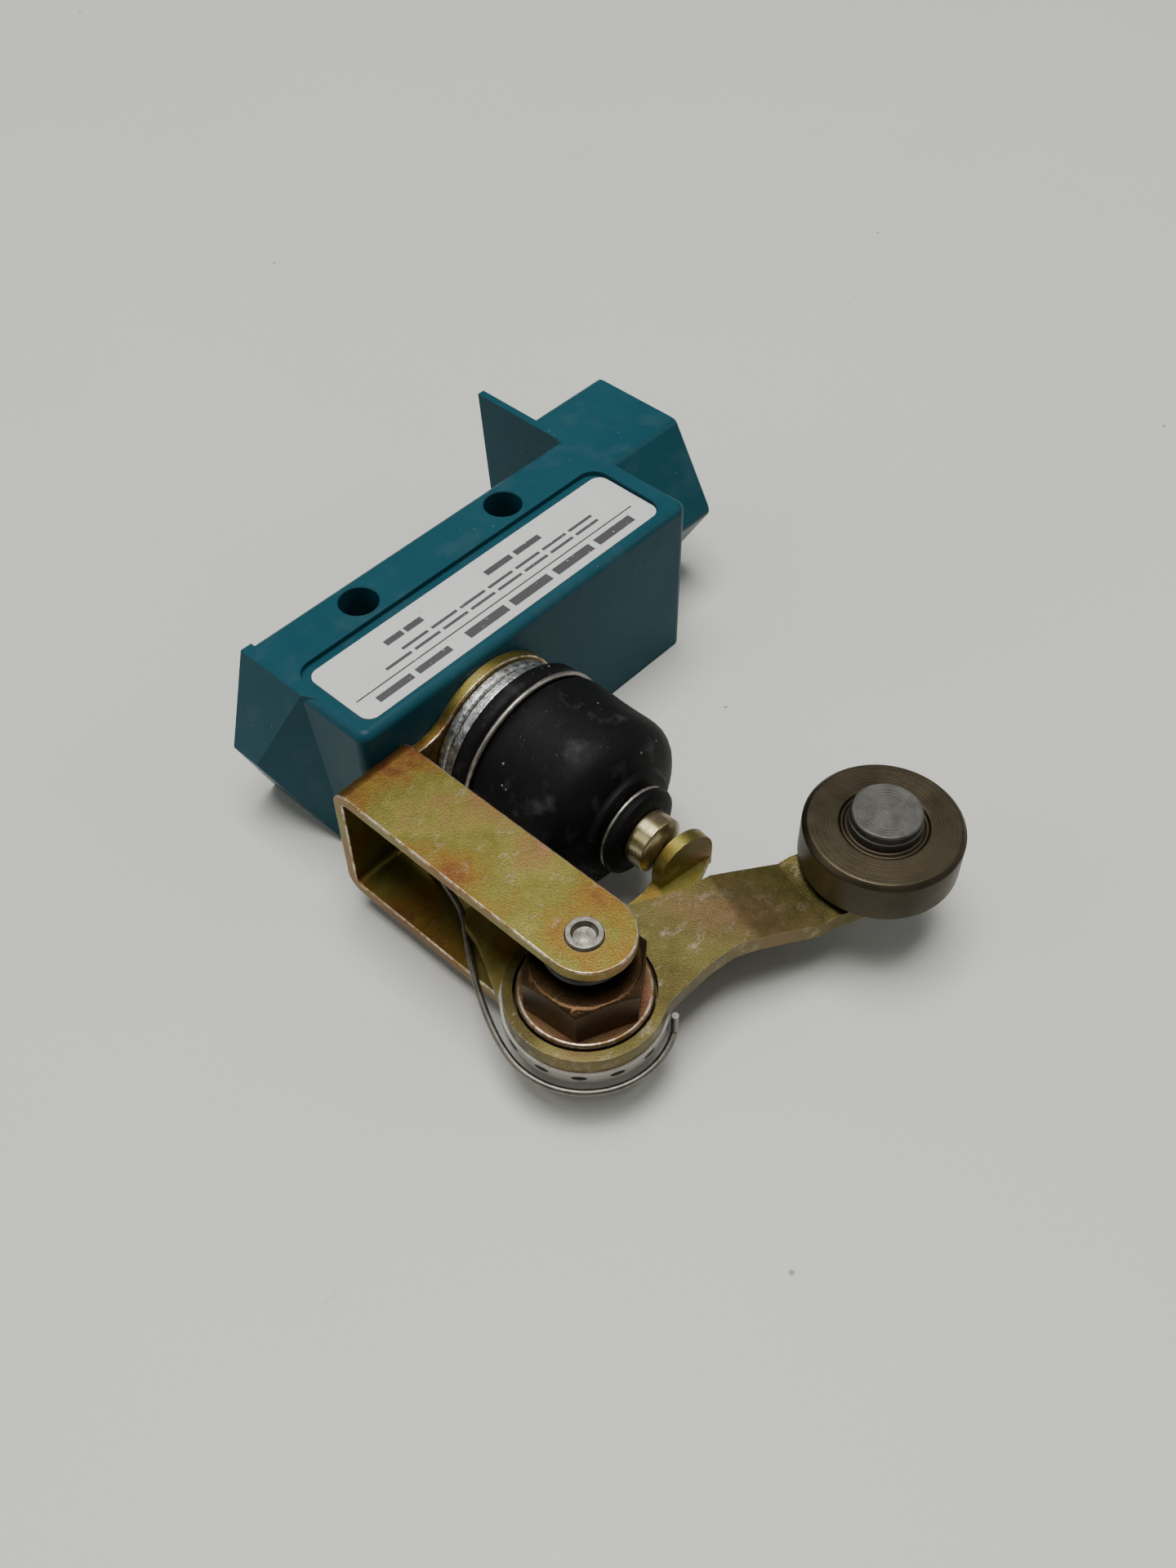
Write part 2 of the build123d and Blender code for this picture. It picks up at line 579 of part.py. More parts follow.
spring_wire = 0.5
spring_coil = 10.2
spring_z = 6.2
spring_bend = (28.6, 33.2)
spring_foot = (24.5, web_back + plate_thickness + 0.2)   # rests against the bracket's web
bend_reach = math.dist(spring_bend, (pivot_x, pivot_y))
bend_angle = math.degrees(math.atan2(spring_bend[1] - pivot_y, spring_bend[0] - pivot_x))
coil_start = bend_angle + math.degrees(math.acos(spring_coil / bend_reach))
coil_turn = 118.0 - coil_start
with BuildPart() as torsion_spring:
    with BuildLine() as spring_line:
        coil = CenterArc((pivot_x, pivot_y, spring_z), spring_coil, coil_start, coil_turn)
        FilletPolyline((*spring_foot, spring_z), (*spring_bend, spring_z), coil @ 0, radius=6)
    with BuildSketch(Plane(origin=coil @ 1, z_dir=coil % 1)):
        Circle(spring_wire)
    sweep(path=spring_line.wires()[0])
    with Locations(coil @ 1):
        Sphere(spring_wire)
        Cylinder(spring_wire, 3.4, align=(Align.CENTER, Align.CENTER, Align.MIN))
torsion_spring.part.label = "torsion_spring"
export_step(torsion_spring.part, "parts/torsion_spring.step")

# ------------------------------------------------------------------ roller
with BuildPart() as roller:
    revolve(half_profile(roller_plane, [
        (roller_pin_radius + 0.05, roller_z[0]), (roller_radius - 0.6, roller_z[0]),
        (roller_radius, roller_z[0] + 0.6), (roller_radius, roller_z[1] - 0.6),
        (roller_radius - 0.6, roller_z[1]), (5.3, roller_z[1]), (5.1, roller_z[1] - 0.35),
        (4.8, roller_z[1] - 0.35), (4.6, roller_z[1]),
        (roller_pin_radius + 0.05, roller_z[1])]), axis=roller_axis)
roller.part.label = "roller"
export_step(roller.part, "parts/roller.step")

with BuildPart() as roller_washer:
    revolve(ring_profile(roller_plane, roller_pin_radius + 0.03, 4.9, 10.42, 10.85),
            axis=roller_axis)
roller_washer.part.label = "roller_washer"
export_step(roller_washer.part, "parts/roller_washer.step")

with BuildPart() as roller_pin:
    revolve(half_profile(roller_plane, [
        (0, 7.6), (3.6, 7.6), (3.9, 7.9), (3.9, 7.98), (2.48, 7.98), (2.48, 10.42),
        (roller_pin_radius, 10.42), (roller_pin_radius, 17.38), (4.35, 17.38), (4.35, 18.4),
        (4.2, 18.5), (4.2, 19.4), (4.0, 19.6), (0, 19.6)]), axis=roller_axis)
roller_pin.part.label = "roller_pin"
export_step(roller_pin.part, "parts/roller_pin.step")

# ------------------------------------------------------------------ snap switch inside
case_half_length = 20.0
case_y = (4.9, 15.2)
case_z = (9.4, cavity_ceiling)
terminal_places = {"open_terminal": 12.0, "common_terminal": 0.0, "closed_terminal": -12.0}
terminal_y = 10.0
switch_screw_places = [(-17.6, 10.0), (17.6, 10.0)]

with BuildPart() as switch_case:
    with Locations((0, sum(case_y) / 2, sum(case_z) / 2)):
        Box(2 * case_half_length, case_y[1] - case_y[0], case_z[1] - case_z[0])
    fillet(switch_case.edges().filter_by(Axis.Z), radius=0.8)
    with Locations((0, 10.0, case_z[0])):
        Box(29.2, 7.2, 11.0, align=(Align.CENTER, Align.CENTER, Align.MIN), mode=Mode.SUBTRACT)
    with BuildSketch(Plane.XZ.offset(-case_y[1])):
        with Locations((plunger_x, plunger_z)):
            Circle(pin_radius + 0.05)
    extrude(amount=3.0, mode=Mode.SUBTRACT)
    with BuildSketch(Plane.XY.offset(case_z[0])):
        with Locations(*switch_screw_places):
            Circle(1.6)
    extrude(amount=case_z[1] - case_z[0], mode=Mode.SUBTRACT)
    # clearance for the corner posts, the ground screw and the wires
    for x, y in post_places:
        with Locations((x, y, case_z[0])):
            Cylinder(post_radius + 0.4, 30.0, mode=Mode.SUBTRACT)
switch_case.part.label = "switch_case"
export_step(switch_case.part, "parts/switch_case.step")

with BuildPart() as switch_case_cover:
    with Locations((0, 10.0, 7.8)):
        Box(30.2, 9.6, 1.6, align=(Align.CENTER, Align.CENTER, Align.MIN))
    for x in terminal_places.values():
        with Locations((x, terminal_y, 6.0)):
            Box(6.4, 6.4, 1.8, align=(Align.CENTER, Align.CENTER, Align.MIN))
    for x in (-6.0, 6.0):
        with Locations((x, terminal_y, 3.3)):
            Box(1.0, 8.6, 4.5, align=(Align.CENTER, Align.CENTER, Align.MIN))
    for x in terminal_places.values():
        with Locations((x, terminal_y, 5.0)):
            Cylinder(1.45 + screw_gap, 4.2, align=(Align.CENTER, Align.CENTER, Align.MIN),
                     mode=Mode.SUBTRACT)
    with Locations((-12.5, 7.15, 8.6), (-1.0, 7.3, 8.6), (12.0, 12.85, 8.6)):
        Box(2.8, 0.9, 6.0, mode=Mode.SUBTRACT)
switch_case_cover.part.label = "switch_case_cover"
export_step(switch_case_cover.part, "parts/switch_case_cover.step")


def terminal_plate(x):
    """Flat screw terminal with its clearance hole, under its screw's head."""
    with BuildSketch(Plane.XY.offset(5.2)) as face:
        with Locations((x, terminal_y)):
            Rectangle(6.0, 6.6)
            Circle(1.6, mode=Mode.SUBTRACT)
    return face.sketch


def strip(low, high):
    """Straight metal strip between two opposite corners."""
    size = [top - bottom for bottom, top in zip(low, high)]
    center = [(top + bottom) / 2 for bottom, top in zip(low, high)]
    return Pos(*center) * Box(*size)


closed_post = strip((-13.7, 6.9, 5.2), (-11.3, 7.4, 17.0))
with BuildPart() as closed_terminal:
    extrude(terminal_plate(terminal_places["closed_terminal"]), amount=0.8)
    add(closed_post)
closed_terminal.part.label = "closed_terminal"
export_step(closed_terminal.part, "parts/closed_terminal.step")

common_post = strip((-2.2, 7.0, 5.2), (0.2, 7.6, 17.0))
common_knife = strip((-1.3, 7.6, 10.6), (-0.7, 9.55, 17.0))
with BuildPart() as common_terminal:
    extrude(terminal_plate(terminal_places["common_terminal"]), amount=0.8)
    add(common_post)
    add(common_knife)
common_terminal.part.label = "common_terminal"
export_step(common_terminal.part, "parts/common_terminal.step")

open_post = strip((10.8, 12.6, 5.2), (13.2, 13.1, 17.0))
open_bar = strip((-13.7, 12.6, 14.4), (10.8, 13.1, 17.0))
with BuildPart() as open_terminal:
    extrude(terminal_plate(terminal_places["open_terminal"]), amount=0.8)
    add(open_post)
    add(open_bar)
open_terminal.part.label = "open_terminal"
export_step(open_terminal.part, "parts/open_terminal.step")

contact_x = -12.5
contact_z = 15.6
with BuildPart() as fixed_contacts:
    with BuildSketch(Plane.XZ.offset(-7.4)):
        with Locations((contact_x, contact_z)):
            Circle(1.2)
    extrude(amount=-2.2)
    with BuildSketch(Plane.XZ.offset(-12.6)):
        with Locations((contact_x, contact_z)):
            Circle(1.2)
    extrude(amount=0.7)
fixed_contacts.part.label = "fixed_contacts"
export_step(fixed_contacts.part, "parts/fixed_contacts.step")

with BuildPart() as moving_blade:
    with Locations((-1.3, blade_pivot[1], 13.9)):
        Box(25.4, 0.3, 6.0)
    with Locations((*blade_pivot, 13.9)):
        Cylinder(0.5, 6.0)
    with BuildSketch(Plane.XZ.offset(-blade_pivot[1])):
        with Locations((contact_x, contact_z)):
            Circle(0.7)
    extrude(amount=1.0, both=True, mode=Mode.SUBTRACT)
moving_blade.part.label = "moving_blade"
export_step(moving_blade.part, "parts/moving_blade.step")

with BuildPart() as blade_contact:
    with BuildSketch(Plane(origin=(contact_x, 0, contact_z), x_dir=(1, 0, 0),
                           z_dir=(0, 0, 1))):
        with BuildLine():
            Polyline((0, 9.7), (1.2, 9.7), (1.2, 10.0), (0.7, 10.0), (0.7, 10.3), (1.2, 10.3),
                     (1.2, 10.6), (0, 10.6), close=True)
        make_face()
    revolve(axis=Axis((contact_x, 0, contact_z), (0, 1, 0)))
blade_contact.part.label = "blade_contact"
export_step(blade_contact.part, "parts/blade_contact.step")

with BuildPart() as switch_pin:
    revolve(ring_profile(plunger_plane, 0, pin_radius, 10.36, 16.6), axis=plunger_axis)
    fillet(switch_pin.edges().group_by(Axis.Y)[0], radius=0.5)
switch_pin.part.label = "switch_pin"
export_step(switch_pin.part, "parts/switch_pin.step")

with BuildPart() as terminal_screws:
    for x in terminal_places.values():
        axis = Axis((x, terminal_y, 0), (0, 0, 1))
        revolve(screw_face(x, terminal_y, 2.6, 1.45, 3.2, 5.2, 9.1), axis=axis)
        with Locations((x, terminal_y, 3.2)):
            Box(4.0, 0.6, 1.6, mode=Mode.SUBTRACT)
terminal_screws.part.label = "terminal_screws"
export_step(terminal_screws.part, "parts/terminal_screws.step")

with BuildPart() as switch_screws:
    for x, y in switch_screw_places:
        axis = Axis((x, y, 0), (0, 0, 1))
        revolve(screw_face(x, y, 2.2, 1.45, 7.6, case_z[0], 23.5), axis=axis)
        with Locations((x, y, 7.6)):
            Box(3.6, 0.6, 1.4, mode=Mode.SUBTRACT)
switch_screws.part.label = "switch_screws"
export_step(switch_screws.part, "parts/switch_screws.step")

with BuildPart() as ground_screw:
    revolve(screw_face(-23.0, 5.6, 2.3, 1.45, 20.3, cavity_ceiling, 23.5),
            axis=Axis((-23.0, 5.6, 0), (0, 0, 1)))
    with Locations((-23.0, 5.6, 20.3)):
        Box(3.8, 0.6, 1.4, mode=Mode.SUBTRACT)
ground_screw.part.label = "ground_screw"
export_step(ground_screw.part, "parts/ground_screw.step")
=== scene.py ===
"""Looks of a die-cast limit switch with a roller lever, built round its CAD frame."""

import json
import logging
import math
from dataclasses import dataclass
from enum import Enum
from typing import Any, Callable, Sequence

import bmesh
import bpy
from mathutils import Matrix, Vector, noise


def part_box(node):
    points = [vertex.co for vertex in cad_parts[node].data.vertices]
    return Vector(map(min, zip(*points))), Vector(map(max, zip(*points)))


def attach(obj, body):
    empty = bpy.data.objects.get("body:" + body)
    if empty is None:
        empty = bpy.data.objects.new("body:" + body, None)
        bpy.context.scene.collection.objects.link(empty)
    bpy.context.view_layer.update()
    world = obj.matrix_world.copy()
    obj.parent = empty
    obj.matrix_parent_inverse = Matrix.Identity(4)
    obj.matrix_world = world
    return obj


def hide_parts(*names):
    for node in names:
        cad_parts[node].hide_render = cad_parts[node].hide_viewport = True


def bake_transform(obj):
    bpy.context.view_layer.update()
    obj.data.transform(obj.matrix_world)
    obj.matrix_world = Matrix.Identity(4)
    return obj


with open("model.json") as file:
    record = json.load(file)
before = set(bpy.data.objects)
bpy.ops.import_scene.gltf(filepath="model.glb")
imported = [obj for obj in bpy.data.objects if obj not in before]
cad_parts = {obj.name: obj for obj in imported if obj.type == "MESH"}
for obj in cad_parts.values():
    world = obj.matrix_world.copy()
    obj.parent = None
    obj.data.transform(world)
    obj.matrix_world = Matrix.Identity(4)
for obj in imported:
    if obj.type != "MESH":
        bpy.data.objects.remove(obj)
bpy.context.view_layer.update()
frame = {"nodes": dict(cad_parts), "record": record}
LOG = logging.getLogger("limit_switch")
MM = 0.001
EDGE_FACETS = 3
Color = tuple[float, float, float]
Point = tuple[float, float, float]
Stops = tuple[tuple[float, Color], ...]
Profile = Sequence[tuple[float, float]]


class Body(Enum):
    """Rigid bodies of the frame that pieces ride on."""

    CASTING = "casting"
    LEVER = "lever"
    ROLLER = "roller"
    PLUNGER = "plunger"


class Finish(Enum):
    """Finishes of the object, by the names of their materials."""

    CAST_ENAMEL = "cast_enamel"
    YELLOW_ZINC = "yellow_zinc"
    ARM_ZINC = "arm_zinc"
    PLATE_ZINC = "plate_zinc"
    NUT_ZINC = "nut_zinc"
    DISC_ZINC = "disc_zinc"
    # Worn edges, brightened as a painted edge highlight.
    WORN_HIGHLIT_EDGE = "worn_edge"
    GALVANISED = "galvanised"
    RING_WIRE = "ring_wire"
    RIVET_STEEL = "rivet_steel"
    PIN_STEEL = "pin_steel"
    SPRING_STEEL = "spring_steel"
    SINTERED = "sintered"
    BLACKENED = "blackened"
    BRASS = "brass"
    SILVER = "silver"
    BOOT_RUBBER = "boot_rubber"
    SEAL = "seal"
    BLACK_PLASTIC = "black_plastic"
    PHENOLIC = "phenolic"
    RATING_PLATE = "rating_plate"


# ----------------------------------------------------------------------------- shader maths
class Value:
    """A shader number that can stand in Python sums; each operator adds a Math node."""

    def __init__(self, graph: "Graph", socket: bpy.types.NodeSocket) -> None:
        """Keep the socket and the graph that new Math nodes go to."""
        self.graph = graph
        self.socket = socket

    def maths(self, operation: str, first: Any, second: Any = 0.0) -> "Value":
        """Add one Math node.

        Args:
            operation: The Math node's operation.
            first: Its first value or link.
            second: Its second value or link.

        Returns:
            The node's result.
        """
        made = self.graph.node("ShaderNodeMath", {"operation": operation}, {0: first, 1: second})
        return Value(self.graph, made.outputs[0])

    def __add__(self, other: Any) -> "Value":
        """Sum of both."""
        return self.maths("ADD", self, other)

    __radd__ = __add__

    def __sub__(self, other: Any) -> "Value":
        """This less the other."""
        return self.maths("SUBTRACT", self, other)

    def __rsub__(self, other: Any) -> "Value":
        """The other less this."""
        return self.maths("SUBTRACT", other, self)

    def __mul__(self, other: Any) -> "Value":
        """Product of both."""
        return self.maths("MULTIPLY", self, other)

    __rmul__ = __mul__

    def __truediv__(self, other: Any) -> "Value":
        """This over the other."""
        return self.maths("DIVIDE", self, other)

    def __pow__(self, other: Any) -> "Value":
        """This to the power of the other."""
        return self.maths("POWER", self, other)

    def over(self, edge: Any) -> "Value":
        """1 where this is above the edge, else 0."""
        return self.maths("GREATER_THAN", self, edge)

    def under(self, edge: Any) -> "Value":
        """1 where this is below the edge, else 0."""
        return self.maths("LESS_THAN", self, edge)

    def size(self) -> "Value":
        """This without its sign."""
        return self.maths("ABSOLUTE", self)

    def most(self, other: Any) -> "Value":
        """The larger of both."""
        return self.maths("MAXIMUM", self, other)


class Graph:
    """The node tree of one material, written in a few calls."""

    def __init__(self, name: str) -> None:
        """Start an empty material.

        Args:
            name: The material's name.
        """
        self.material = bpy.data.materials.new(name)
        self.material.use_nodes = True
        self.tree = self.material.node_tree
        self.tree.nodes.clear()
        self.place = self.node("ShaderNodeTexCoord").outputs["Object"]

    def node(self, kind: str, settings: dict[str, Any] | None = None,
             sockets: dict[Any, Any] | None = None) -> bpy.types.Node:
        """Add any node.

        Args:
            kind: The node's type.
            settings: Its properties, set first; "stops" are a colour ramp's stops.
            sockets: Values or links by socket name or number.

        Returns:
            The node.
        """
        made = self.tree.nodes.new(kind)
        for name, value in (settings or {}).items():
            if name == "stops":
                self._set_stops(made.color_ramp, value)
            else:
                setattr(made, name, value)
        for key, value in (sockets or {}).items():
            source = value.socket if isinstance(value, Value) else value
            if isinstance(source, bpy.types.NodeSocket):
                self.tree.links.new(source, made.inputs[key])
            else:
                made.inputs[key].default_value = source
        return made

    @staticmethod
    def _set_stops(ramp: bpy.types.ColorRamp, stops: Stops) -> None:
        """Write a colour ramp's stops.

        Args:
            ramp: The ramp, which starts with two stops.
            stops: Position and colour of each stop.
        """
        while len(ramp.elements) < len(stops):
            ramp.elements.new(1.0)
        for element, (position, color) in zip(ramp.elements, stops):
            element.position = position
            element.color = (*color, 1.0)

    def noise(self, size: float, detail: float = 3.0, stretch: Point = (1, 1, 1),
              rough: float = 0.55, shift: float = 0.0) -> Value:
        """Cloudy noise.

        Args:
            size: Width of its features in millimetres.
            detail: Octaves.
            stretch: Density along each axis.
            rough: Weight of the finer octaves.
            shift: Offset that gives each use its own clouds.

        Returns:
            A value from 0 to 1.
        """
        moved = self.node("ShaderNodeMapping", None,
                          {"Vector": self.place, "Location": (shift, -shift, shift),
                           "Scale": tuple(part / (size * MM) for part in stretch)})
        made = self.node("ShaderNodeTexNoise", None,
                         {"Vector": moved.outputs[0], "Scale": 1.0, "Detail": detail,
                          "Roughness": rough})
        return Value(self, made.outputs[0])

    def specks(self, size: float, radius: float, shift: float = 0.0) -> Value:
        """Scattered round specks.

        Args:
            size: Mean distance between specks in millimetres.
            radius: Speck radius as a share of that distance.
            shift: Offset that gives each use its own specks.

        Returns:
            1 inside a speck, else 0.
        """
        moved = self.node("ShaderNodeMapping", None,
                          {"Vector": self.place, "Location": (shift, shift, -shift),
                           "Scale": (1 / (size * MM),) * 3})
        made = self.node("ShaderNodeTexVoronoi", None, {"Vector": moved.outputs[0], "Scale": 1.0})
        return Value(self, made.outputs["Distance"]).under(radius)

    def axes(self) -> tuple[Value, Value, Value]:
        """The object's own x, y and z in metres."""
        made = self.node("ShaderNodeSeparateXYZ", None, {0: self.place})
        return tuple(Value(self, socket) for socket in made.outputs)

    def spread(self, value: Value, low: float, high: float, first: float = 0.0,
               last: float = 1.0) -> Value:
        """Map a range of a value to another range, held at its ends.

        Args:
            value: The value.
            low: Where its range starts.
            high: Where its range ends.
            first: Result at the low end.
            last: Result at the high end.

        Returns:
            The mapped value.
        """
        made = self.node("ShaderNodeMapRange", None,
                         {"Value": value, "From Min": low, "From Max": high, "To Min": first,
                          "To Max": last})
        return Value(self, made.outputs[0])

    def ramp(self, value: Value, stops: Stops) -> bpy.types.NodeSocket:
        """Colour picked from stops by a value."""
        return self.node("ShaderNodeValToRGB", {"stops": stops}, {0: value}).outputs[0]

    def mix(self, share: Any, first: Any, second: Any) -> bpy.types.NodeSocket:
        """Colour between two colours.

        Args:
            share: How much of the second colour shows.
            first: Colour or link.
            second: Colour or link.

        Returns:
            The mixed colour.
        """
        ends = [(*end, 1.0) if isinstance(end, tuple) else end for end in (first, second)]
        made = self.node("ShaderNodeMix", {"data_type": "RGBA"},
                         {0: share, 6: ends[0], 7: ends[1]})
        return made.outputs[2]

    def bump(self, height: Value, depth: float) -> bpy.types.NodeSocket:
        """Surface normal from a height.

        Args:
            height: Height as a value.
            depth: Real depth in millimetres of a height of 1.

        Returns:
            The normal.
        """
        made = self.node("ShaderNodeBump", None,
                         {"Strength": 1.0, "Distance": depth * MM, "Height": height})
        return made.outputs[0]

    def close(self, **sockets: Any) -> bpy.types.Material:
        """Add the Principled shader and the output.

        Args:
            **sockets: The shader's sockets, with _ for each space in a name.

        Returns:
            The finished material.
        """
        named = {name.replace("_", " "): value for name, value in sockets.items()}
        shader = self.node("ShaderNodeBsdfPrincipled", None, named)
        self.node("ShaderNodeOutputMaterial", None, {"Surface": shader.outputs[0]})
        return self.material


# ----------------------------------------------------------------------------- finishes
@dataclass(frozen=True)
class CastEnamel:
    """Glossy stoved enamel over a die casting, a little dusty and nicked."""

    name: str = "cast_enamel"
    tone: Color = (0.009, 0.053, 0.072)
    faded: Color = (0.012, 0.062, 0.081)
    dust: Color = (0.16, 0.20, 0.20)
    pit: Color = (0.004, 0.03, 0.04)

    def material(self) -> bpy.types.Material:
        """Build the finish.

        Returns:
            The material.
        """
        graph = Graph(self.name)
        cloud = graph.noise(14.0, 4.0)
        base = graph.mix(graph.spread(cloud, 0.35, 0.7), self.tone, self.faded)
        film = graph.spread(graph.noise(5.0, 6.0, shift=3.0), 0.52, 0.8, 0.0, 0.10)
        motes = graph.specks(2.1, 0.055, 1.0) * graph.noise(9.0, shift=6.0).over(0.5)
        base = graph.mix(film + motes * 0.5, base, self.dust)
        pits = graph.specks(6.5, 0.045, 4.0)
        base = graph.mix(pits * 0.8, base, self.pit)
        peel = graph.noise(1.6, 2.0) * 0.5 + graph.noise(7.0, 2.0, shift=2.0)
        return graph.close(Base_Color=base, Metallic=0.0,
                           Roughness=0.28 + film * 1.0 + graph.noise(3.0, 5.0) * 0.12,
                           IOR=1.45, Specular_IOR_Level=0.10,
                           Normal=graph.bump(peel - pits * 0.5, 0.045))


@dataclass(frozen=True)
class YellowZinc:
    """Yellow-passivated zinc plate: cloudy gold, olive and rose, with a fine grain."""

    name: str = "yellow_zinc"
    stops: Stops = ((0.34, (0.20, 0.075, 0.025)), (0.42, (0.24, 0.145, 0.030)),
                    (0.49, (0.20, 0.180, 0.040)), (0.55, (0.255, 0.215, 0.055)),
                    (0.62, (0.27, 0.165, 0.060)), (0.70, (0.34, 0.16, 0.10)))
    worn: Color = (0.50, 0.42, 0.34)
    wear: float = 0.10
    rough: float = 0.30
    drift: float = 0.0
    grain_tone: Color = (0.075, 0.055, 0.018)
    rim_center: tuple[float, float] = (0.0, 0.0)
    rim_radius: float = 0.0
    rim_width: float = 0.6
    rim_z: float = 8.1
    rim_tone: Color = (0.40, 0.39, 0.37)
    # Dark ovals round the bare rim: painted shade standing for the insides of holes.
    rim_hole_count: int = 14
    hole_shade_size: tuple[float, float] = (0.85, 0.36)
    hole_shade_tone: Color = (0.012, 0.010, 0.008)

    def material(self) -> bpy.types.Material:
        """Build the finish.

        Returns:
            The material.
        """
        graph = Graph(self.name)
        cloud = graph.noise(13.0, 3.0, rough=0.5, shift=self.drift)
        fine = graph.noise(1.3, 5.0, shift=self.drift + 5.0)
        base = graph.ramp(cloud * 0.86 + fine * 0.14, self.stops)
        scuff = graph.spread(graph.noise(3.2, 8.0, (1, 1.7, 1), 0.75, self.drift + 9.0),
                             0.68 - self.wear, 0.80 - self.wear)
        scratch = graph.noise(0.8, 3.0, (0.10, 1.0, 1.0), 0.6, self.drift + 2.0).over(0.72)
        base = graph.mix(scuff * 0.42 + scratch * 0.25, base, self.worn)
        grain = graph.noise(0.22, 4.0, shift=1.0)
        base = graph.mix(graph.spread(grain, 0.35, 0.68, 0.0, 0.42), base, self.grain_tone)
        if self.rim_radius > 0:
            band, hole_shade_mask = self._rim(graph)
            base = graph.mix(band * 0.85, base, self.rim_tone)
            # Painted shade: dark ovals stand for the shaded insides of the rim's holes.
            base = graph.mix(hole_shade_mask, base, self.hole_shade_tone)
        return graph.close(Base_Color=base, Metallic=0.9,
                           Roughness=self.rough + fine * 0.20 - scuff * 0.05,
                           Normal=graph.bump(grain * 0.7 + cloud - scratch * 0.3, 0.040))

    def _rim(self, graph: Graph) -> tuple[Value, Value]:
        """Mask the bare rim and the dark ovals in it, painted shade for the insides of its holes.

        Args:
            graph: The material's graph.

        Returns:
            The rim's mask and the mask of the painted hole shade.
        """
        x, y, z = graph.axes()
        across = x - self.rim_center[0]
        along = y - self.rim_center[1]
        radius = (across ** 2.0 + along ** 2.0) ** 0.5 / MM
        band = radius.over(self.rim_radius) * radius.under(self.rim_radius + self.rim_width)
        turn = along.maths("ARCTAN2", along, across) * (self.rim_hole_count / (2 * math.pi))
        spacing = 2 * math.pi * self.rim_radius / self.rim_hole_count
        aside = (turn.maths("FRACT", turn) - 0.5) * spacing / self.hole_shade_size[0]
        above = (z / MM - self.rim_z) / self.hole_shade_size[1]
        return band, band * (aside ** 2.0 + above ** 2.0).under(1.0)


@dataclass(frozen=True)
class WornHighlitEdge:
    """Bare edge where the plating has rubbed through, lightened further as a painted highlight
    along the edge.
    """

    name: str = "worn_edge"
    # Rubbed-through metal tone, raised to a painted highlight along the edge.
    worn_highlight_tone: Color = (0.72, 0.61, 0.49)
    kept: Color = (0.25, 0.155, 0.070)

    def material(self) -> bpy.types.Material:
        """Build the finish.

        Returns:
            The material.
        """
        graph = Graph(self.name)
        patches = graph.spread(graph.noise(2.2, 7.0, rough=0.7), 0.44, 0.62)
        # Patches of bare metal, brightened as a painted highlight on the broken edges.
        base = graph.mix(patches, self.kept, self.worn_highlight_tone)
        return graph.close(Base_Color=base, Metallic=0.95,
                           Roughness=0.42 - patches * 0.14,
                           Normal=graph.bump(graph.noise(0.35, 4.0), 0.02))


@dataclass(frozen=True)
class GreyMetal:
    """Plain metal: galvanised, turned, ground or blackened, by its numbers."""

    name: str
    dark: Color
    light: Color
    blotch: float = 3.0
    rough: float = 0.36
    depth: float = 0.02
    turned_about: tuple[float, float] | None = None
    soil: Color = (0.06, 0.045, 0.03)
    soil_share: float = 0.35
    ring_density: float = 5200.0

    def material(self) -> bpy.types.Material:
        """Build the finish.

        Returns:
            The material.
        """
        graph = Graph(self.name)
        cloud = graph.noise(self.blotch, 5.0, rough=0.65)
        base = graph.mix(graph.spread(cloud, 0.35, 0.65), self.dark, self.light)
        grime = graph.spread(graph.noise(self.blotch * 1.7, 6.0, shift=7.0), 0.50, 0.72)
        base = graph.mix(grime * self.soil_share, base, self.soil)
        height = graph.noise(0.25, 4.0) * 0.6 + cloud
        if self.turned_about is not None:
            x, y, _ = graph.axes()
            radius = ((x - self.turned_about[0]) ** 2.0 + (y - self.turned_about[1]) ** 2.0) ** 0.5
            rings = graph.node("ShaderNodeTexNoise", {"noise_dimensions": "1D"},
                               {"W": radius, "Scale": self.ring_density, "Detail": 2.0})
            height = height * 0.4 + Value(graph, rings.outputs[0])
        return graph.close(Base_Color=base, Metallic=0.95,
                           Roughness=self.rough + cloud * 0.16 + grime * 0.16,
                           Normal=graph.bump(height, self.depth))


@dataclass(frozen=True)
class BootRubber:
    """Moulded black rubber with a dusty bloom, pale smudges and lint."""

    name: str = "boot_rubber"
    black: Color = (0.0036, 0.0036, 0.0038)
    bloom: Color = (0.0075, 0.0075, 0.008)
    smudged: Color = (0.085, 0.085, 0.088)
    lint: Color = (0.22, 0.21, 0.20)

    def material(self) -> bpy.types.Material:
        """Build the finish.

        Returns:
            The material.
        """
        graph = Graph(self.name)
        haze = graph.spread(graph.noise(6.5, 5.0, shift=2.0), 0.45, 0.80, 0.0, 0.75)
        base = graph.mix(haze, self.black, self.bloom)
        smudge = graph.spread(graph.noise(3.6, 4.0, shift=8.5), 0.57, 0.76, 0.0, 0.34)
        base = graph.mix(smudge, base, self.smudged)
        motes = graph.specks(0.85, 0.060, 3.0) * graph.noise(4.5, shift=1.5).over(0.46)
        crumbs = graph.specks(2.6, 0.060, 6.0)
        base = graph.mix((motes * 0.6).most(crumbs * 0.8), base, self.lint)
        skin = graph.noise(0.45, 4.0) * 0.35 + graph.noise(2.2, 4.0, shift=5.0)
        return graph.close(Base_Color=base, Metallic=0.0,
                           Roughness=0.50 + haze * 0.2 + motes * 0.2,
                           Specular_IOR_Level=0.11, Normal=graph.bump(skin, 0.09))


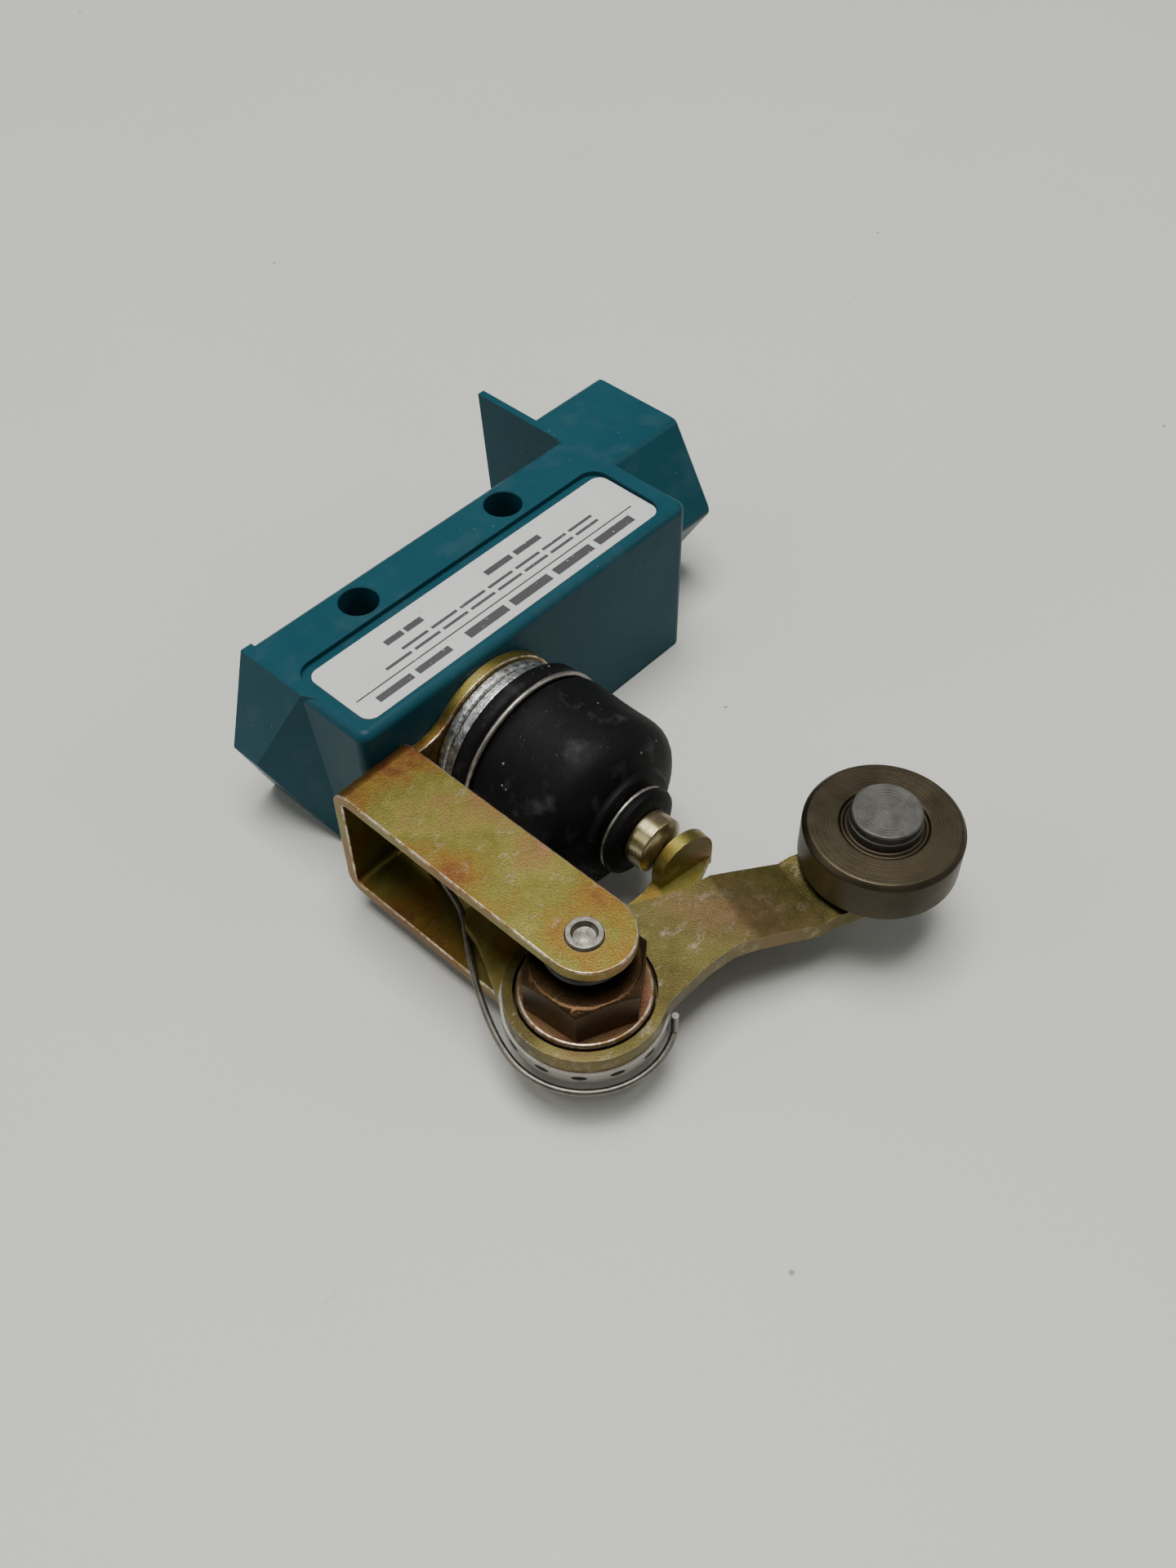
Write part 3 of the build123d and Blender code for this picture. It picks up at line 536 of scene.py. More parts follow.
@dataclass(frozen=True)
class Moulded:
    """Plain moulded or cut non-metal: seals, washers, the switch's own case."""

    name: str
    tone: Color
    light: Color
    rough: float = 0.5
    grain: float = 0.5

    def material(self) -> bpy.types.Material:
        """Build the finish.

        Returns:
            The material.
        """
        graph = Graph(self.name)
        cloud = graph.noise(4.0, 4.0)
        base = graph.mix(graph.spread(cloud, 0.35, 0.75), self.tone, self.light)
        fine = graph.noise(self.grain, 3.0)
        return graph.close(Base_Color=base, Roughness=self.rough + fine * 0.12, Metallic=0.0,
                           Normal=graph.bump(fine, 0.02))


@dataclass(frozen=True)
class RatingPlate:
    """White printed plate with a rule and plain bars in place of any lettering.

    Each bar row is its y, half height, start, end and pitch in millimetres.
    """

    name: str = "rating_plate"
    white: Color = (0.56, 0.565, 0.55)
    yellowed: Color = (0.46, 0.46, 0.41)
    fleck: Color = (0.2, 0.2, 0.19)
    ink: Color = (0.030, 0.032, 0.034)
    rule_y: float = 12.45
    rule_half_height: float = 0.12
    rule_half_length: float = 24.2
    stroke_share: float = 0.44
    bar_rows: tuple[tuple[float, ...], ...] = (
        (14.05, 0.70, -23.0, 8.0, 7.75), (14.05, 0.55, 10.0, 22.6, 6.3),
        (11.05, 0.24, -19.5, 18.5, 4.75), (9.85, 0.24, -19.5, 14.8, 4.9),
        (7.70, 0.50, -12.0, -1.5, 5.25), (7.70, 0.50, 9.0, 15.5, 3.25))

    def material(self) -> bpy.types.Material:
        """Build the finish.

        Returns:
            The material.
        """
        graph = Graph(self.name)
        x, y, _ = graph.axes()
        x = x / MM
        y = y / MM
        printed = ((y - self.rule_y).size().under(self.rule_half_height)
                   * x.size().under(self.rule_half_length))
        for row_y, half_height, start, end, pitch in self.bar_rows:
            inside = (x - (start + end) / 2).size().under((end - start) / 2)
            cell = x.maths("FRACT", (x - start) / pitch)
            stroke = (cell - 0.5).size().under(self.stroke_share)
            printed = printed.most((y - row_y).size().under(half_height) * inside * stroke)
        aged = graph.spread(graph.noise(9.0, 4.0), 0.4, 0.7, 0.0, 0.22)
        base = graph.mix(aged, self.white, self.yellowed)
        flecks = graph.specks(3.4, 0.05, 2.0)
        base = graph.mix(flecks * 0.5, base, self.fleck)
        worn = graph.noise(0.5, 4.0).under(0.68)
        base = graph.mix(printed * worn * 0.95, base, self.ink)
        return graph.close(Base_Color=base, Metallic=0.0,
                           Roughness=0.34 + graph.noise(2.0, 4.0) * 0.14,
                           Normal=graph.bump(graph.noise(1.0, 3.0), 0.012))


@dataclass(frozen=True)
class TableTop:
    """Pale matt table with faint scratches and crumbs."""

    name: str = "table_top"
    tone: Color = (0.60, 0.60, 0.565)
    shade: Color = (0.56, 0.56, 0.525)
    grit: Color = (0.44, 0.44, 0.42)
    crumb: Color = (0.16, 0.15, 0.14)
    scratch: Color = (0.30, 0.30, 0.28)

    def material(self) -> bpy.types.Material:
        """Build the finish.

        Returns:
            The material.
        """
        graph = Graph(self.name)
        cloud = graph.noise(60.0, 3.0)
        base = graph.mix(cloud, self.tone, self.shade)
        fine = graph.noise(0.8, 3.0)
        base = graph.mix(graph.spread(fine, 0.55, 0.8, 0.0, 0.12), base, self.grit)
        crumbs = graph.specks(16.0, 0.022, 2.0)
        base = graph.mix(crumbs * 0.7, base, self.crumb)
        lines = graph.noise(2.4, 2.0, (0.05, 1.0, 1.0), 0.5, 3.0).over(0.745)
        base = graph.mix(lines * 0.16, base, self.scratch)
        return graph.close(Base_Color=base, Metallic=0.0, Roughness=0.42 + fine * 0.12,
                           Specular_IOR_Level=0.35, Normal=graph.bump(fine, 0.03))


class Finishes:
    """Every finish of the object, each made once."""

    def __init__(self) -> None:
        """Build all materials."""
        nut_axis = self.axis_of("hex_nut")
        pin_axis = self.axis_of("roller_pin")
        brown = ((0.34, (0.012, 0.0045, 0.0024)), (0.44, (0.020, 0.0085, 0.0040)),
                 (0.52, (0.030, 0.0145, 0.0065)), (0.62, (0.042, 0.0175, 0.0090)),
                 (0.74, (0.078, 0.038, 0.022)))
        rose = ((0.34, (0.13, 0.050, 0.030)), (0.44, (0.19, 0.085, 0.050)),
                (0.52, (0.16, 0.105, 0.045)), (0.62, (0.24, 0.125, 0.080)),
                (0.74, (0.30, 0.19, 0.13)))
        coppery = ((0.34, (0.060, 0.048, 0.016)), (0.43, (0.105, 0.088, 0.026)),
                   (0.50, (0.14, 0.120, 0.038)), (0.58, (0.16, 0.125, 0.045)),
                   (0.67, (0.185, 0.125, 0.055)), (0.76, (0.25, 0.15, 0.09)))
        recipes = (
            CastEnamel(),
            YellowZinc(),
            YellowZinc("arm_zinc", coppery, wear=0.14, drift=2.7),
            YellowZinc("plate_zinc", wear=0.12, drift=5.1, rim_center=nut_axis, rim_radius=9.2),
            YellowZinc("nut_zinc", brown, (0.15, 0.085, 0.052), 0.03, 0.22, 1.3),
            YellowZinc("disc_zinc", rose, (0.38, 0.28, 0.21), 0.06, 0.28, 8.2),
            WornHighlitEdge(),
            GreyMetal("galvanised", (0.15, 0.155, 0.155), (0.62, 0.63, 0.62), 1.1, 0.26, 0.10),
            GreyMetal("ring_wire", (0.22, 0.20, 0.175), (0.40, 0.37, 0.33), 1.2, 0.30),
            GreyMetal("rivet_steel", (0.20, 0.18, 0.155), (0.38, 0.355, 0.31), 1.5, 0.24,
                      turned_about=nut_axis),
            GreyMetal("pin_steel", (0.095, 0.093, 0.085), (0.140, 0.138, 0.127), 2.4, 0.36, 0.014,
                      pin_axis, soil_share=0.12),
            GreyMetal("spring_steel", (0.13, 0.118, 0.10), (0.24, 0.22, 0.19), 2.0, 0.28),
            GreyMetal("sintered", (0.049, 0.040, 0.025), (0.069, 0.057, 0.036), 5.0, 0.34, 0.02,
                      pin_axis, (0.030, 0.021, 0.013), 0.25),
            GreyMetal("blackened", (0.012, 0.011, 0.010), (0.035, 0.032, 0.03), 2.0, 0.36),
            GreyMetal("brass", (0.30, 0.25, 0.125), (0.50, 0.43, 0.26), 2.4, 0.17, 0.012,
                      soil_share=0.55),
            GreyMetal("silver", (0.55, 0.55, 0.54), (0.72, 0.72, 0.71), 0.8, 0.25),
            BootRubber(),
            Moulded("seal", (0.015, 0.015, 0.016), (0.03, 0.03, 0.031), 0.6),
            Moulded("black_plastic", (0.010, 0.010, 0.010), (0.022, 0.021, 0.02), 0.35),
            Moulded("phenolic", (0.045, 0.018, 0.010), (0.075, 0.032, 0.018), 0.32),
            RatingPlate())
        self.made = {Finish(recipe.name): recipe.material() for recipe in recipes}

    @staticmethod
    def axis_of(node: str) -> tuple[float, float]:
        """Find where an upright round node's axis stands.

        Args:
            node: The CAD node.

        Returns:
            The axis's x and y in metres.
        """
        low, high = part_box(node)
        middle = (low + high) / 2
        return middle.x, middle.y

    def dress(self, piece: bpy.types.Object, *finishes: Finish) -> None:
        """Give a piece its finishes.

        Args:
            piece: The piece.
            *finishes: The main finish, then that of its broken edges.
        """
        slots = piece.data.materials
        while len(slots) > len(finishes):
            slots.pop(index=len(slots) - 1)
        while len(slots) < len(finishes):
            slots.append(None)
        for index, finish in enumerate(finishes):
            slots[index] = self.made[finish]


# ----------------------------------------------------------------------------- mesh tools
def add_piece(name: str, mesh: bmesh.types.BMesh, smooth: float = 32.0) -> bpy.types.Object:
    """Turn a bmesh into an object in the scene.

    Args:
        name: The piece's name.
        mesh: Its geometry, freed here.
        smooth: Edges sharper than this many degrees stay crisp.

    Returns:
        The new object.
    """
    data = bpy.data.meshes.new(name)
    bmesh.ops.recalc_face_normals(mesh, faces=mesh.faces)
    for edge in mesh.edges:
        edge.smooth = edge.calc_face_angle(0.0) < math.radians(smooth)
    for face in mesh.faces:
        face.smooth = True
    mesh.to_mesh(data)
    mesh.free()
    piece = bpy.data.objects.new(name, data)
    bpy.context.scene.collection.objects.link(piece)
    return piece


def apply_modifiers(piece: bpy.types.Object) -> None:
    """Write a piece's modifiers into its mesh.

    Args:
        piece: The piece.
    """
    graph = bpy.context.evaluated_depsgraph_get()
    final = bpy.data.meshes.new_from_object(piece.evaluated_get(graph))
    piece.modifiers.clear()
    piece.data = final


def join_rings(mesh: bmesh.types.BMesh, rings: Sequence[list[bmesh.types.BMVert]]) -> None:
    """Fill the faces between each ring of points and the next.

    Args:
        mesh: The mesh that holds the points.
        rings: Closed rings with the same number of points each.
    """
    for here, there in zip(rings, rings[1:]):
        for index in range(len(here)):
            after = (index + 1) % len(here)
            mesh.faces.new((here[index], here[after], there[after], there[index]))


def spun(name: str, profile: Profile, center: Vector, steps: int,
         shape: Callable[[Vector], Vector] | None = None) -> bpy.types.Object:
    """Turn a closed profile about an axis along Y.

    Args:
        name: The piece's name.
        profile: (radius, y) points in millimetres.
        center: A point on the axis in metres; its y is not used.
        steps: Facets round the axis.
        shape: Optional last move of each point.

    Returns:
        The turned piece.
    """
    mesh = bmesh.new()
    rings = []
    for step in range(steps):
        angle = 2 * math.pi * step / steps
        ring = []
        for radius, along in profile:
            spot = Vector((center.x + radius * MM * math.cos(angle), along * MM,
                           center.z + radius * MM * math.sin(angle)))
            ring.append(mesh.verts.new(shape(spot) if shape else spot))
        rings.append(ring)
    join_rings(mesh, rings + rings[:1])
    bmesh.ops.remove_doubles(mesh, verts=mesh.verts, dist=0.002 * MM)
    return add_piece(name, mesh)


def tube(name: str, path: Sequence[Vector], radius: float, sides: int) -> bpy.types.Object:
    """Round wire along a path, with closed ends.

    Args:
        name: The piece's name.
        path: Points in metres.
        radius: Wire radius in millimetres.
        sides: Facets round the wire.

    Returns:
        The wire.
    """
    mesh = bmesh.new()
    along = [(path[min(i + 1, len(path) - 1)] - path[max(i - 1, 0)]).normalized()
             for i in range(len(path))]
    side = along[0].orthogonal().normalized()
    rings = []
    for spot, direction in zip(path, along):
        side = (side - direction * side.dot(direction)).normalized()
        up = direction.cross(side)
        rings.append([mesh.verts.new(spot + (side * math.cos(turn) + up * math.sin(turn))
                                     * radius * MM)
                      for turn in (2 * math.pi * k / sides for k in range(sides))])
    join_rings(mesh, rings)
    mesh.faces.new(rings[0][::-1])
    mesh.faces.new(rings[-1])
    return add_piece(name, mesh)


def softened(node: str, width: float, worn: bool = False, angle: float = 35.0) -> bpy.types.Object:
    """Copy a CAD node and break its sharp edges.

    Args:
        node: The CAD node.
        width: Edge break in millimetres.
        worn: Whether the broken edges take the piece's second finish, rubbed metal with a painted
            edge highlight.
        angle: Edges sharper than this many degrees are broken.

    Returns:
        The softened copy, which stands for the node.
    """
    mesh = bmesh.new()
    mesh.from_mesh(frame["nodes"][node].data)
    bmesh.ops.remove_doubles(mesh, verts=mesh.verts, dist=0.004 * MM)
    bmesh.ops.dissolve_limit(mesh, angle_limit=math.radians(0.6), verts=mesh.verts,
                             edges=mesh.edges)
    piece = add_piece(node + "_finished", mesh, angle)
    for _ in range(2 if worn else 1):
        piece.data.materials.append(None)
    break_edges = piece.modifiers.new("break_edges", "BEVEL")
    break_edges.width = width * MM
    break_edges.segments = EDGE_FACETS
    break_edges.limit_method = "ANGLE"
    break_edges.angle_limit = math.radians(angle)
    if worn:
        break_edges.material = 1
    piece.modifiers.new("even_normals", "WEIGHTED_NORMAL")
    apply_modifiers(piece)
    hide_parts(node)
    return piece


# ----------------------------------------------------------------------------- sub-assemblies
@dataclass
class Assembly:
    """What every sub-assembly shares: the finishes, and how a piece is dressed and placed."""

    finishes: Finishes

    def place(self, piece: bpy.types.Object, body: Body, slot: str, *finishes: Finish) -> None:
        """Dress a piece and put it on its body.

        Args:
            piece: The piece.
            body: The body it rides on.
            slot: The slot's name; not used.
            *finishes: The main finish, then that of its broken edges.
        """
        self.finishes.dress(piece, *finishes)
        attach(piece, body.value)
        LOG.info("%s rides on %s", piece.name, body.value)

    def dress_nodes(self, **kept: Finish) -> None:
        """Give CAD nodes that stay as they are their finishes.

        Args:
            **kept: The finish of each node.
        """
        for node, finish in kept.items():
            self.finishes.dress(frame["nodes"][node], finish)
            LOG.info("%s dressed in %s", node, finish.value)


@dataclass
class Casting(Assembly):
    """The enamelled die casting with its plate, and the closure behind."""

    edge_break: float = 0.45
    thread_pitch: float = 1.81
    thread_depth: float = 0.32
    thread_end_gap: float = 0.9
    root_share: float = 0.44
    root_overlap: float = 0.08
    crest_half_width: float = 0.14
    facets_per_turn: int = 72
    runout_facets: int = 30

    def conduit_thread(self) -> None:
        """Make the bare-metal thread inside the conduit hub."""
        mount = next(row for row in frame["record"]["mounts"] if row["name"] == "conduit")
        center = Vector(mount["pos_m"])
        bore = mount["dims"]["r_mm"]
        length = mount["dims"]["length_mm"] - 2 * self.thread_end_gap
        half = self.thread_pitch * self.root_share
        crest = bore - self.thread_depth
        root = bore + self.root_overlap
        section = ((root, -half), (crest, -self.crest_half_width),
                   (crest, self.crest_half_width), (root, half))
        steps = int(length / self.thread_pitch * self.facets_per_turn)
        mesh = bmesh.new()
        rings = []
        for step in range(steps + 1):
            turns = step / self.facets_per_turn
            angle = 2 * math.pi * turns
            start = self.thread_end_gap + self.thread_pitch * turns
            fade = min(1.0, step / self.runout_facets, (steps - step) / self.runout_facets)
            ring = []
            for radius, offset in section:
                reach = root + (radius - root) * fade
                spot = Vector((start + offset, reach * math.cos(angle), reach * math.sin(angle)))
                ring.append(mesh.verts.new(center + spot * MM))
            rings.append(ring)
        join_rings(mesh, rings)
        bmesh.ops.remove_doubles(mesh, verts=mesh.verts, dist=0.001 * MM)
        thread = add_piece("conduit_thread", mesh)
        self.place(thread, Body.CASTING, "silver_zinc", Finish.RING_WIRE)

    def build(self) -> None:
        """Make and dress the casting's pieces."""
        self.conduit_thread()
        block = softened("housing", self.edge_break, angle=24.0)
        self.place(block, Body.CASTING, "teal_paint", Finish.CAST_ENAMEL)
        self.dress_nodes(label_plate=Finish.RATING_PLATE, rear_cover=Finish.CAST_ENAMEL,
                         rear_gasket=Finish.SEAL, cover_screws=Finish.GALVANISED,
                         ground_screw=Finish.BRASS)


@dataclass
class LeverBracket(Assembly):
    """The plated U bracket, and the rivet that carries the lever."""

    edge_break: float = 0.36
    rivet_edge: float = 0.08

    def build(self) -> None:
        """Make and dress the bracket and its rivet."""
        bracket = softened("mounting_bracket", self.edge_break, worn=True)
        self.place(bracket, Body.CASTING, "yellow_zinc", Finish.YELLOW_ZINC, Finish.WORN_HIGHLIT_EDGE)
        rivet = softened("pivot_rivet", self.rivet_edge)
        self.place(rivet, Body.CASTING, "silver_zinc", Finish.RIVET_STEEL)


@dataclass(frozen=True)
class CoilSpring:
    """Sizes of one compression spring, and the bodies that its ends ride on."""

    node: str
    low: float
    high: float
    turns: float
    coil: float
    wire: float
    first: str
    second: str


@dataclass
class PlungerHead(Assembly):
    """Bushing, nut, rubber boot and plunger train, all on one axis along Y."""

    edge_break: float = 0.15
    boot_radius: float = 11.95
    boot_front: float = 44.3
    boot_held_y: float = 28.0
    boot_moving_y: float = 41.0
    dent_depth: float = 0.35
    dent_from_radius: float = 6.5
    dent_from_y: float = 27.5
    dent_to_y: float = 42.0
    wire_coil: float = 11.7
    wire_radius: float = 0.38
    neck_coil: float = 5.45
    neck_radius: float = 0.29
    clamp_ring_y: float = 26.0
    neck_ring_y: float = 42.6
    return_spring: CoilSpring = CoilSpring("return_spring", 27.4, 38.4, 7.5, 4.15, 0.35,
                                           "casting", "plunger")
    overtravel_spring: CoilSpring = CoilSpring("overtravel_spring", 26.3, 37.3, 9.5, 1.7, 0.25,
                                               "actuator", "plunger")

    def __post_init__(self) -> None:
        """Find the plunger's axis in the frame."""
        low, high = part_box("plunger")
        self.axis = (low + high) / 2

    def boot_profile(self) -> list[tuple[float, float]]:
        """Draw the closed section of the boot, outside first.

        Returns:
            (radius, y) points in millimetres.
        """
        wide = self.boot_radius
        outside = [(7.45, 23.0), (11.0, 23.0), (11.55, 23.12), (11.85, 23.5), (11.9, 24.0),
                   (11.88, 24.6), (11.7, 25.05), (11.35, 25.4), (11.27, 25.9), (11.28, 26.35),
                   (11.45, 26.65), (11.75, 26.95), (11.9, 27.4), (wide, 28.2)]
        outside += [(wide, 28.2 + step * 0.75) for step in range(1, 11)]
        shoulder = [(wide, 36.3), (11.9, 37.1), (11.76, 37.9), (11.45, 38.7), (10.95, 39.4),
                    (10.3, 40.0), (9.5, 40.45), (8.6, 40.8), (7.9, 40.98), (7.45, 41.12),
                    (7.22, 41.4), (7.15, 41.75), (6.9, 42.0), (6.2, 42.12), (5.45, 42.2),
                    (5.16, 42.4), (5.16, 42.8), (5.4, 43.02), (5.85, 43.12), (5.9, 43.4),
                    (5.7, 43.85), (5.2, 44.15), (4.5, 44.28), (3.0, self.boot_front)]
        inside = [(3.0, 41.4), (5.6, 40.85), (7.8, 39.9), (10.0, 38.9), (10.8, 37.6), (10.9, 36.0),
                  (10.9, 26.0), (7.45, 25.4)]
        return outside + shoulder + inside

    def dented(self, spot: Vector) -> Vector:
        """Move a point of the boot in or out a little, as worn soft rubber does.

        Args:
            spot: The point in metres.

        Returns:
            The moved point.
        """
        y = spot.y / MM
        out = Vector((spot.x - self.axis.x, 0, spot.z - self.axis.z))
        if out.length < self.dent_from_radius * MM or y < self.dent_from_y:
            return spot
        fade = (min(1.0, (y - self.dent_from_y) / 4.0)
                * min(1.0, max(0.0, (self.dent_to_y - y) / 2.5)))
        waves = noise.noise(spot * 140.0) * 0.7 + noise.noise(spot * 420.0) * 0.15 - 0.3
        return spot + out.normalized() * waves * self.dent_depth * fade * MM

    def helix(self, spring: CoilSpring) -> list[Vector]:
        """Lay a spring's centre line on the plunger's axis, with closed end turns.

        Args:
            spring: The spring's sizes.

        Returns:
            Points in metres.
        """
        points = []
        steps = int(spring.turns * 40)
        for step in range(steps + 1):
            share = step / steps
            eased = min(1.0, max(0.0, (share * spring.turns - 0.8) / (spring.turns - 1.6)))
            angle = 2 * math.pi * spring.turns * share
            along = (spring.low + (spring.high - spring.low) * eased) * MM + share * 0.4 * MM
            points.append(Vector((self.axis.x + spring.coil * MM * math.cos(angle), along,
                                  self.axis.z + spring.coil * MM * math.sin(angle))))
        return points

    def build(self) -> None:
        """Make and dress the pieces on the plunger's axis."""
        self.rubber_boot()
        self.wire_rings()
        self.spring_coil(self.return_spring)
        self.spring_coil(self.overtravel_spring)
        for node, body, slot, finish in (
                ("lock_washer", Body.CASTING, "silver_zinc", Finish.GALVANISED),
                ("clamp_nut", Body.CASTING, "silver_zinc", Finish.GALVANISED),
                ("plunger", Body.PLUNGER, "brass", Finish.BRASS)):
            self.place(softened(node, self.edge_break), body, slot, finish)
        self.dress_nodes(plunger_bushing=Finish.BRASS, actuator_rod=Finish.BRASS)

    def rubber_boot(self) -> None:
        """Make the boot, held by the casting at its root and by the plunger at its neck."""
        boot = spun("rubber_boot", self.boot_profile(), self.axis, 192, self.dented)
        self.finishes.dress(boot, Finish.BOOT_RUBBER)
        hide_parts("boot")
        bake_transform(boot)
        LOG.info("rubber_boot blends from casting to plunger")

    def wire_rings(self) -> None:
        """Make the two round-wire rings that hold the boot."""
        rings = (("boot_clamp_ring", self.wire_coil, self.clamp_ring_y, self.wire_radius,
                  Body.CASTING),
                 ("boot_neck_ring", self.neck_coil, self.neck_ring_y, self.neck_radius,
                  Body.PLUNGER))
        for node, coil, along, wire, body in rings:
            section = [(coil + wire * math.cos(turn), along + wire * math.sin(turn))
                       for turn in (2 * math.pi * k / 16 for k in range(16))]
            ring = spun(node + "_wire", section, self.axis, 144)
            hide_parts(node)
            self.place(ring, body, "bright_steel", Finish.RING_WIRE)

    def spring_coil(self, spring: CoilSpring) -> None:
        """Make one of the compression springs inside the boot and the plunger.

        Args:
            spring: The spring's sizes.
        """
        wire = tube(spring.node + "_coil", self.helix(spring), spring.wire, 10)
        self.finishes.dress(wire, Finish.SPRING_STEEL)
        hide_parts(spring.node)
        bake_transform(wire)
        LOG.info("%s blends from %s to %s", wire.name, spring.first, spring.second)


@dataclass
class LeverAssembly(Assembly):
    """Everything that turns on the rivet, and the wire spring round it."""

    plate_edge: float = 0.22
    arm_edge: float = 0.34
    disc_edge: float = 0.15
    nut_edge: float = 0.18
    coil_radius: float = 10.25
    wire_radius: float = 0.42
    wire_z: float = 6.2
    foot: tuple[float, float] = (24.5, 19.8)
    bend: tuple[float, float] = (28.6, 33.2)
    bow: tuple[float, float] = (33.2, 38.6)
    bow_reach: float = 5.0
    leg_turn: float = -14.0
    hook_turn: float = 118.0
    hook_height: float = 3.4
    leg_held_y: float = 38.0
    coil_moving_y: float = 61.5

    def __post_init__(self) -> None:
        """Find the pivot in the frame."""
        low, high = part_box("hex_nut")
        self.pivot = (low + high) / 2 / MM

    def spring_path(self) -> list[Vector]:
        """Lay the wire spring's centre line: foot, bowed leg, arc round the pivot, upright hook.

        Returns:
            Points in metres.
        """
        start = math.radians(self.leg_turn)
        end = math.radians(self.hook_turn)
        turns = [start + (end - start) * step / 64 for step in range(65)]
        arc = [Vector((self.pivot.x + self.coil_radius * math.cos(turn),
                       self.pivot.y + self.coil_radius * math.sin(turn), self.wire_z))
               for turn in turns]
        foot, bend, bow = (Vector((*spot, self.wire_z))
                           for spot in (self.foot, self.bend, self.bow))
        reach = (arc[0] - arc[1]).normalized() * self.bow_reach
        bowed = [bend * (1 - t) ** 3 + bow * 3 * t * (1 - t) ** 2
                 + (arc[0] + reach) * 3 * t * t * (1 - t) + arc[0] * t ** 3
                 for t in (step / 24 for step in range(3, 24))]
        straight = [foot.lerp(bend, step / 8) for step in range(8)]
        corner = [straight[-1].lerp(bend, t).lerp(bend.lerp(bowed[0], t), t)
                  for t in (0.2, 0.4, 0.6, 0.8)]
        hook = [arc[-1] + Vector((0, 0, self.hook_height * step / 6)) for step in range(1, 7)]
        return [spot * MM for spot in straight + corner + bowed + arc + hook]

    def build(self) -> None:
        """Make and dress the lever's pieces."""
        for node, width, finish in (("inner_lever", self.plate_edge, Finish.PLATE_ZINC),
                                    ("roller_arm", self.arm_edge, Finish.ARM_ZINC),
                                    ("clamp_disc", self.disc_edge, Finish.DISC_ZINC)):
            self.place(softened(node, width, worn=True), Body.LEVER, "yellow_zinc", finish,
                       Finish.WORN_HIGHLIT_EDGE)
        nut = softened("hex_nut", self.nut_edge)
        self.place(nut, Body.LEVER, "yellow_zinc", Finish.NUT_ZINC)
        self.torsion_spring()
        self.dress_nodes(lever_hub=Finish.BLACKENED, lower_washer=Finish.BLACK_PLASTIC,
                         upper_washer=Finish.BLACK_PLASTIC)

    def torsion_spring(self) -> None:
        """Make the wire spring, held by the bracket at its foot and by the lever at its hook."""
        spring = tube("torsion_spring_wire", self.spring_path(), self.wire_radius, 16)
        self.finishes.dress(spring, Finish.SPRING_STEEL)
        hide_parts("torsion_spring")
        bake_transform(spring)
        LOG.info("torsion_spring_wire blends from casting to lever")


@dataclass
class RollerSet(Assembly):
    """The sintered roller on its pin."""

    edge_break: float = 0.16

    def build(self) -> None:
        """Make and dress the roller, its pin and its washer."""
        roller = softened("roller", self.edge_break)
        self.place(roller, Body.ROLLER, "sintered_steel", Finish.SINTERED)
        pin = softened("roller_pin", self.edge_break)
        self.place(pin, Body.LEVER, "silver_zinc", Finish.PIN_STEEL)
        self.dress_nodes(roller_washer=Finish.GALVANISED)


@dataclass
class SnapSwitch(Assembly):
    """The snap-action switch inside the casting."""

    def build(self) -> None:
        """Dress the switch's own nodes."""
        self.dress_nodes(
            switch_case=Finish.PHENOLIC, switch_case_cover=Finish.PHENOLIC,
            switch_pin=Finish.BLACK_PLASTIC, moving_blade=Finish.BRASS,
            blade_contact=Finish.SILVER, fixed_contacts=Finish.SILVER,
            common_terminal=Finish.BRASS, open_terminal=Finish.BRASS,
            closed_terminal=Finish.BRASS, terminal_screws=Finish.BRASS,
            switch_screws=Finish.GALVANISED)


@dataclass(frozen=True)
class Lamp:
    """One soft square lamp: its place and width in metres, its power in watts, its tint."""

    name: str
    place: Point
    width: float
    power: float
    tint: Color


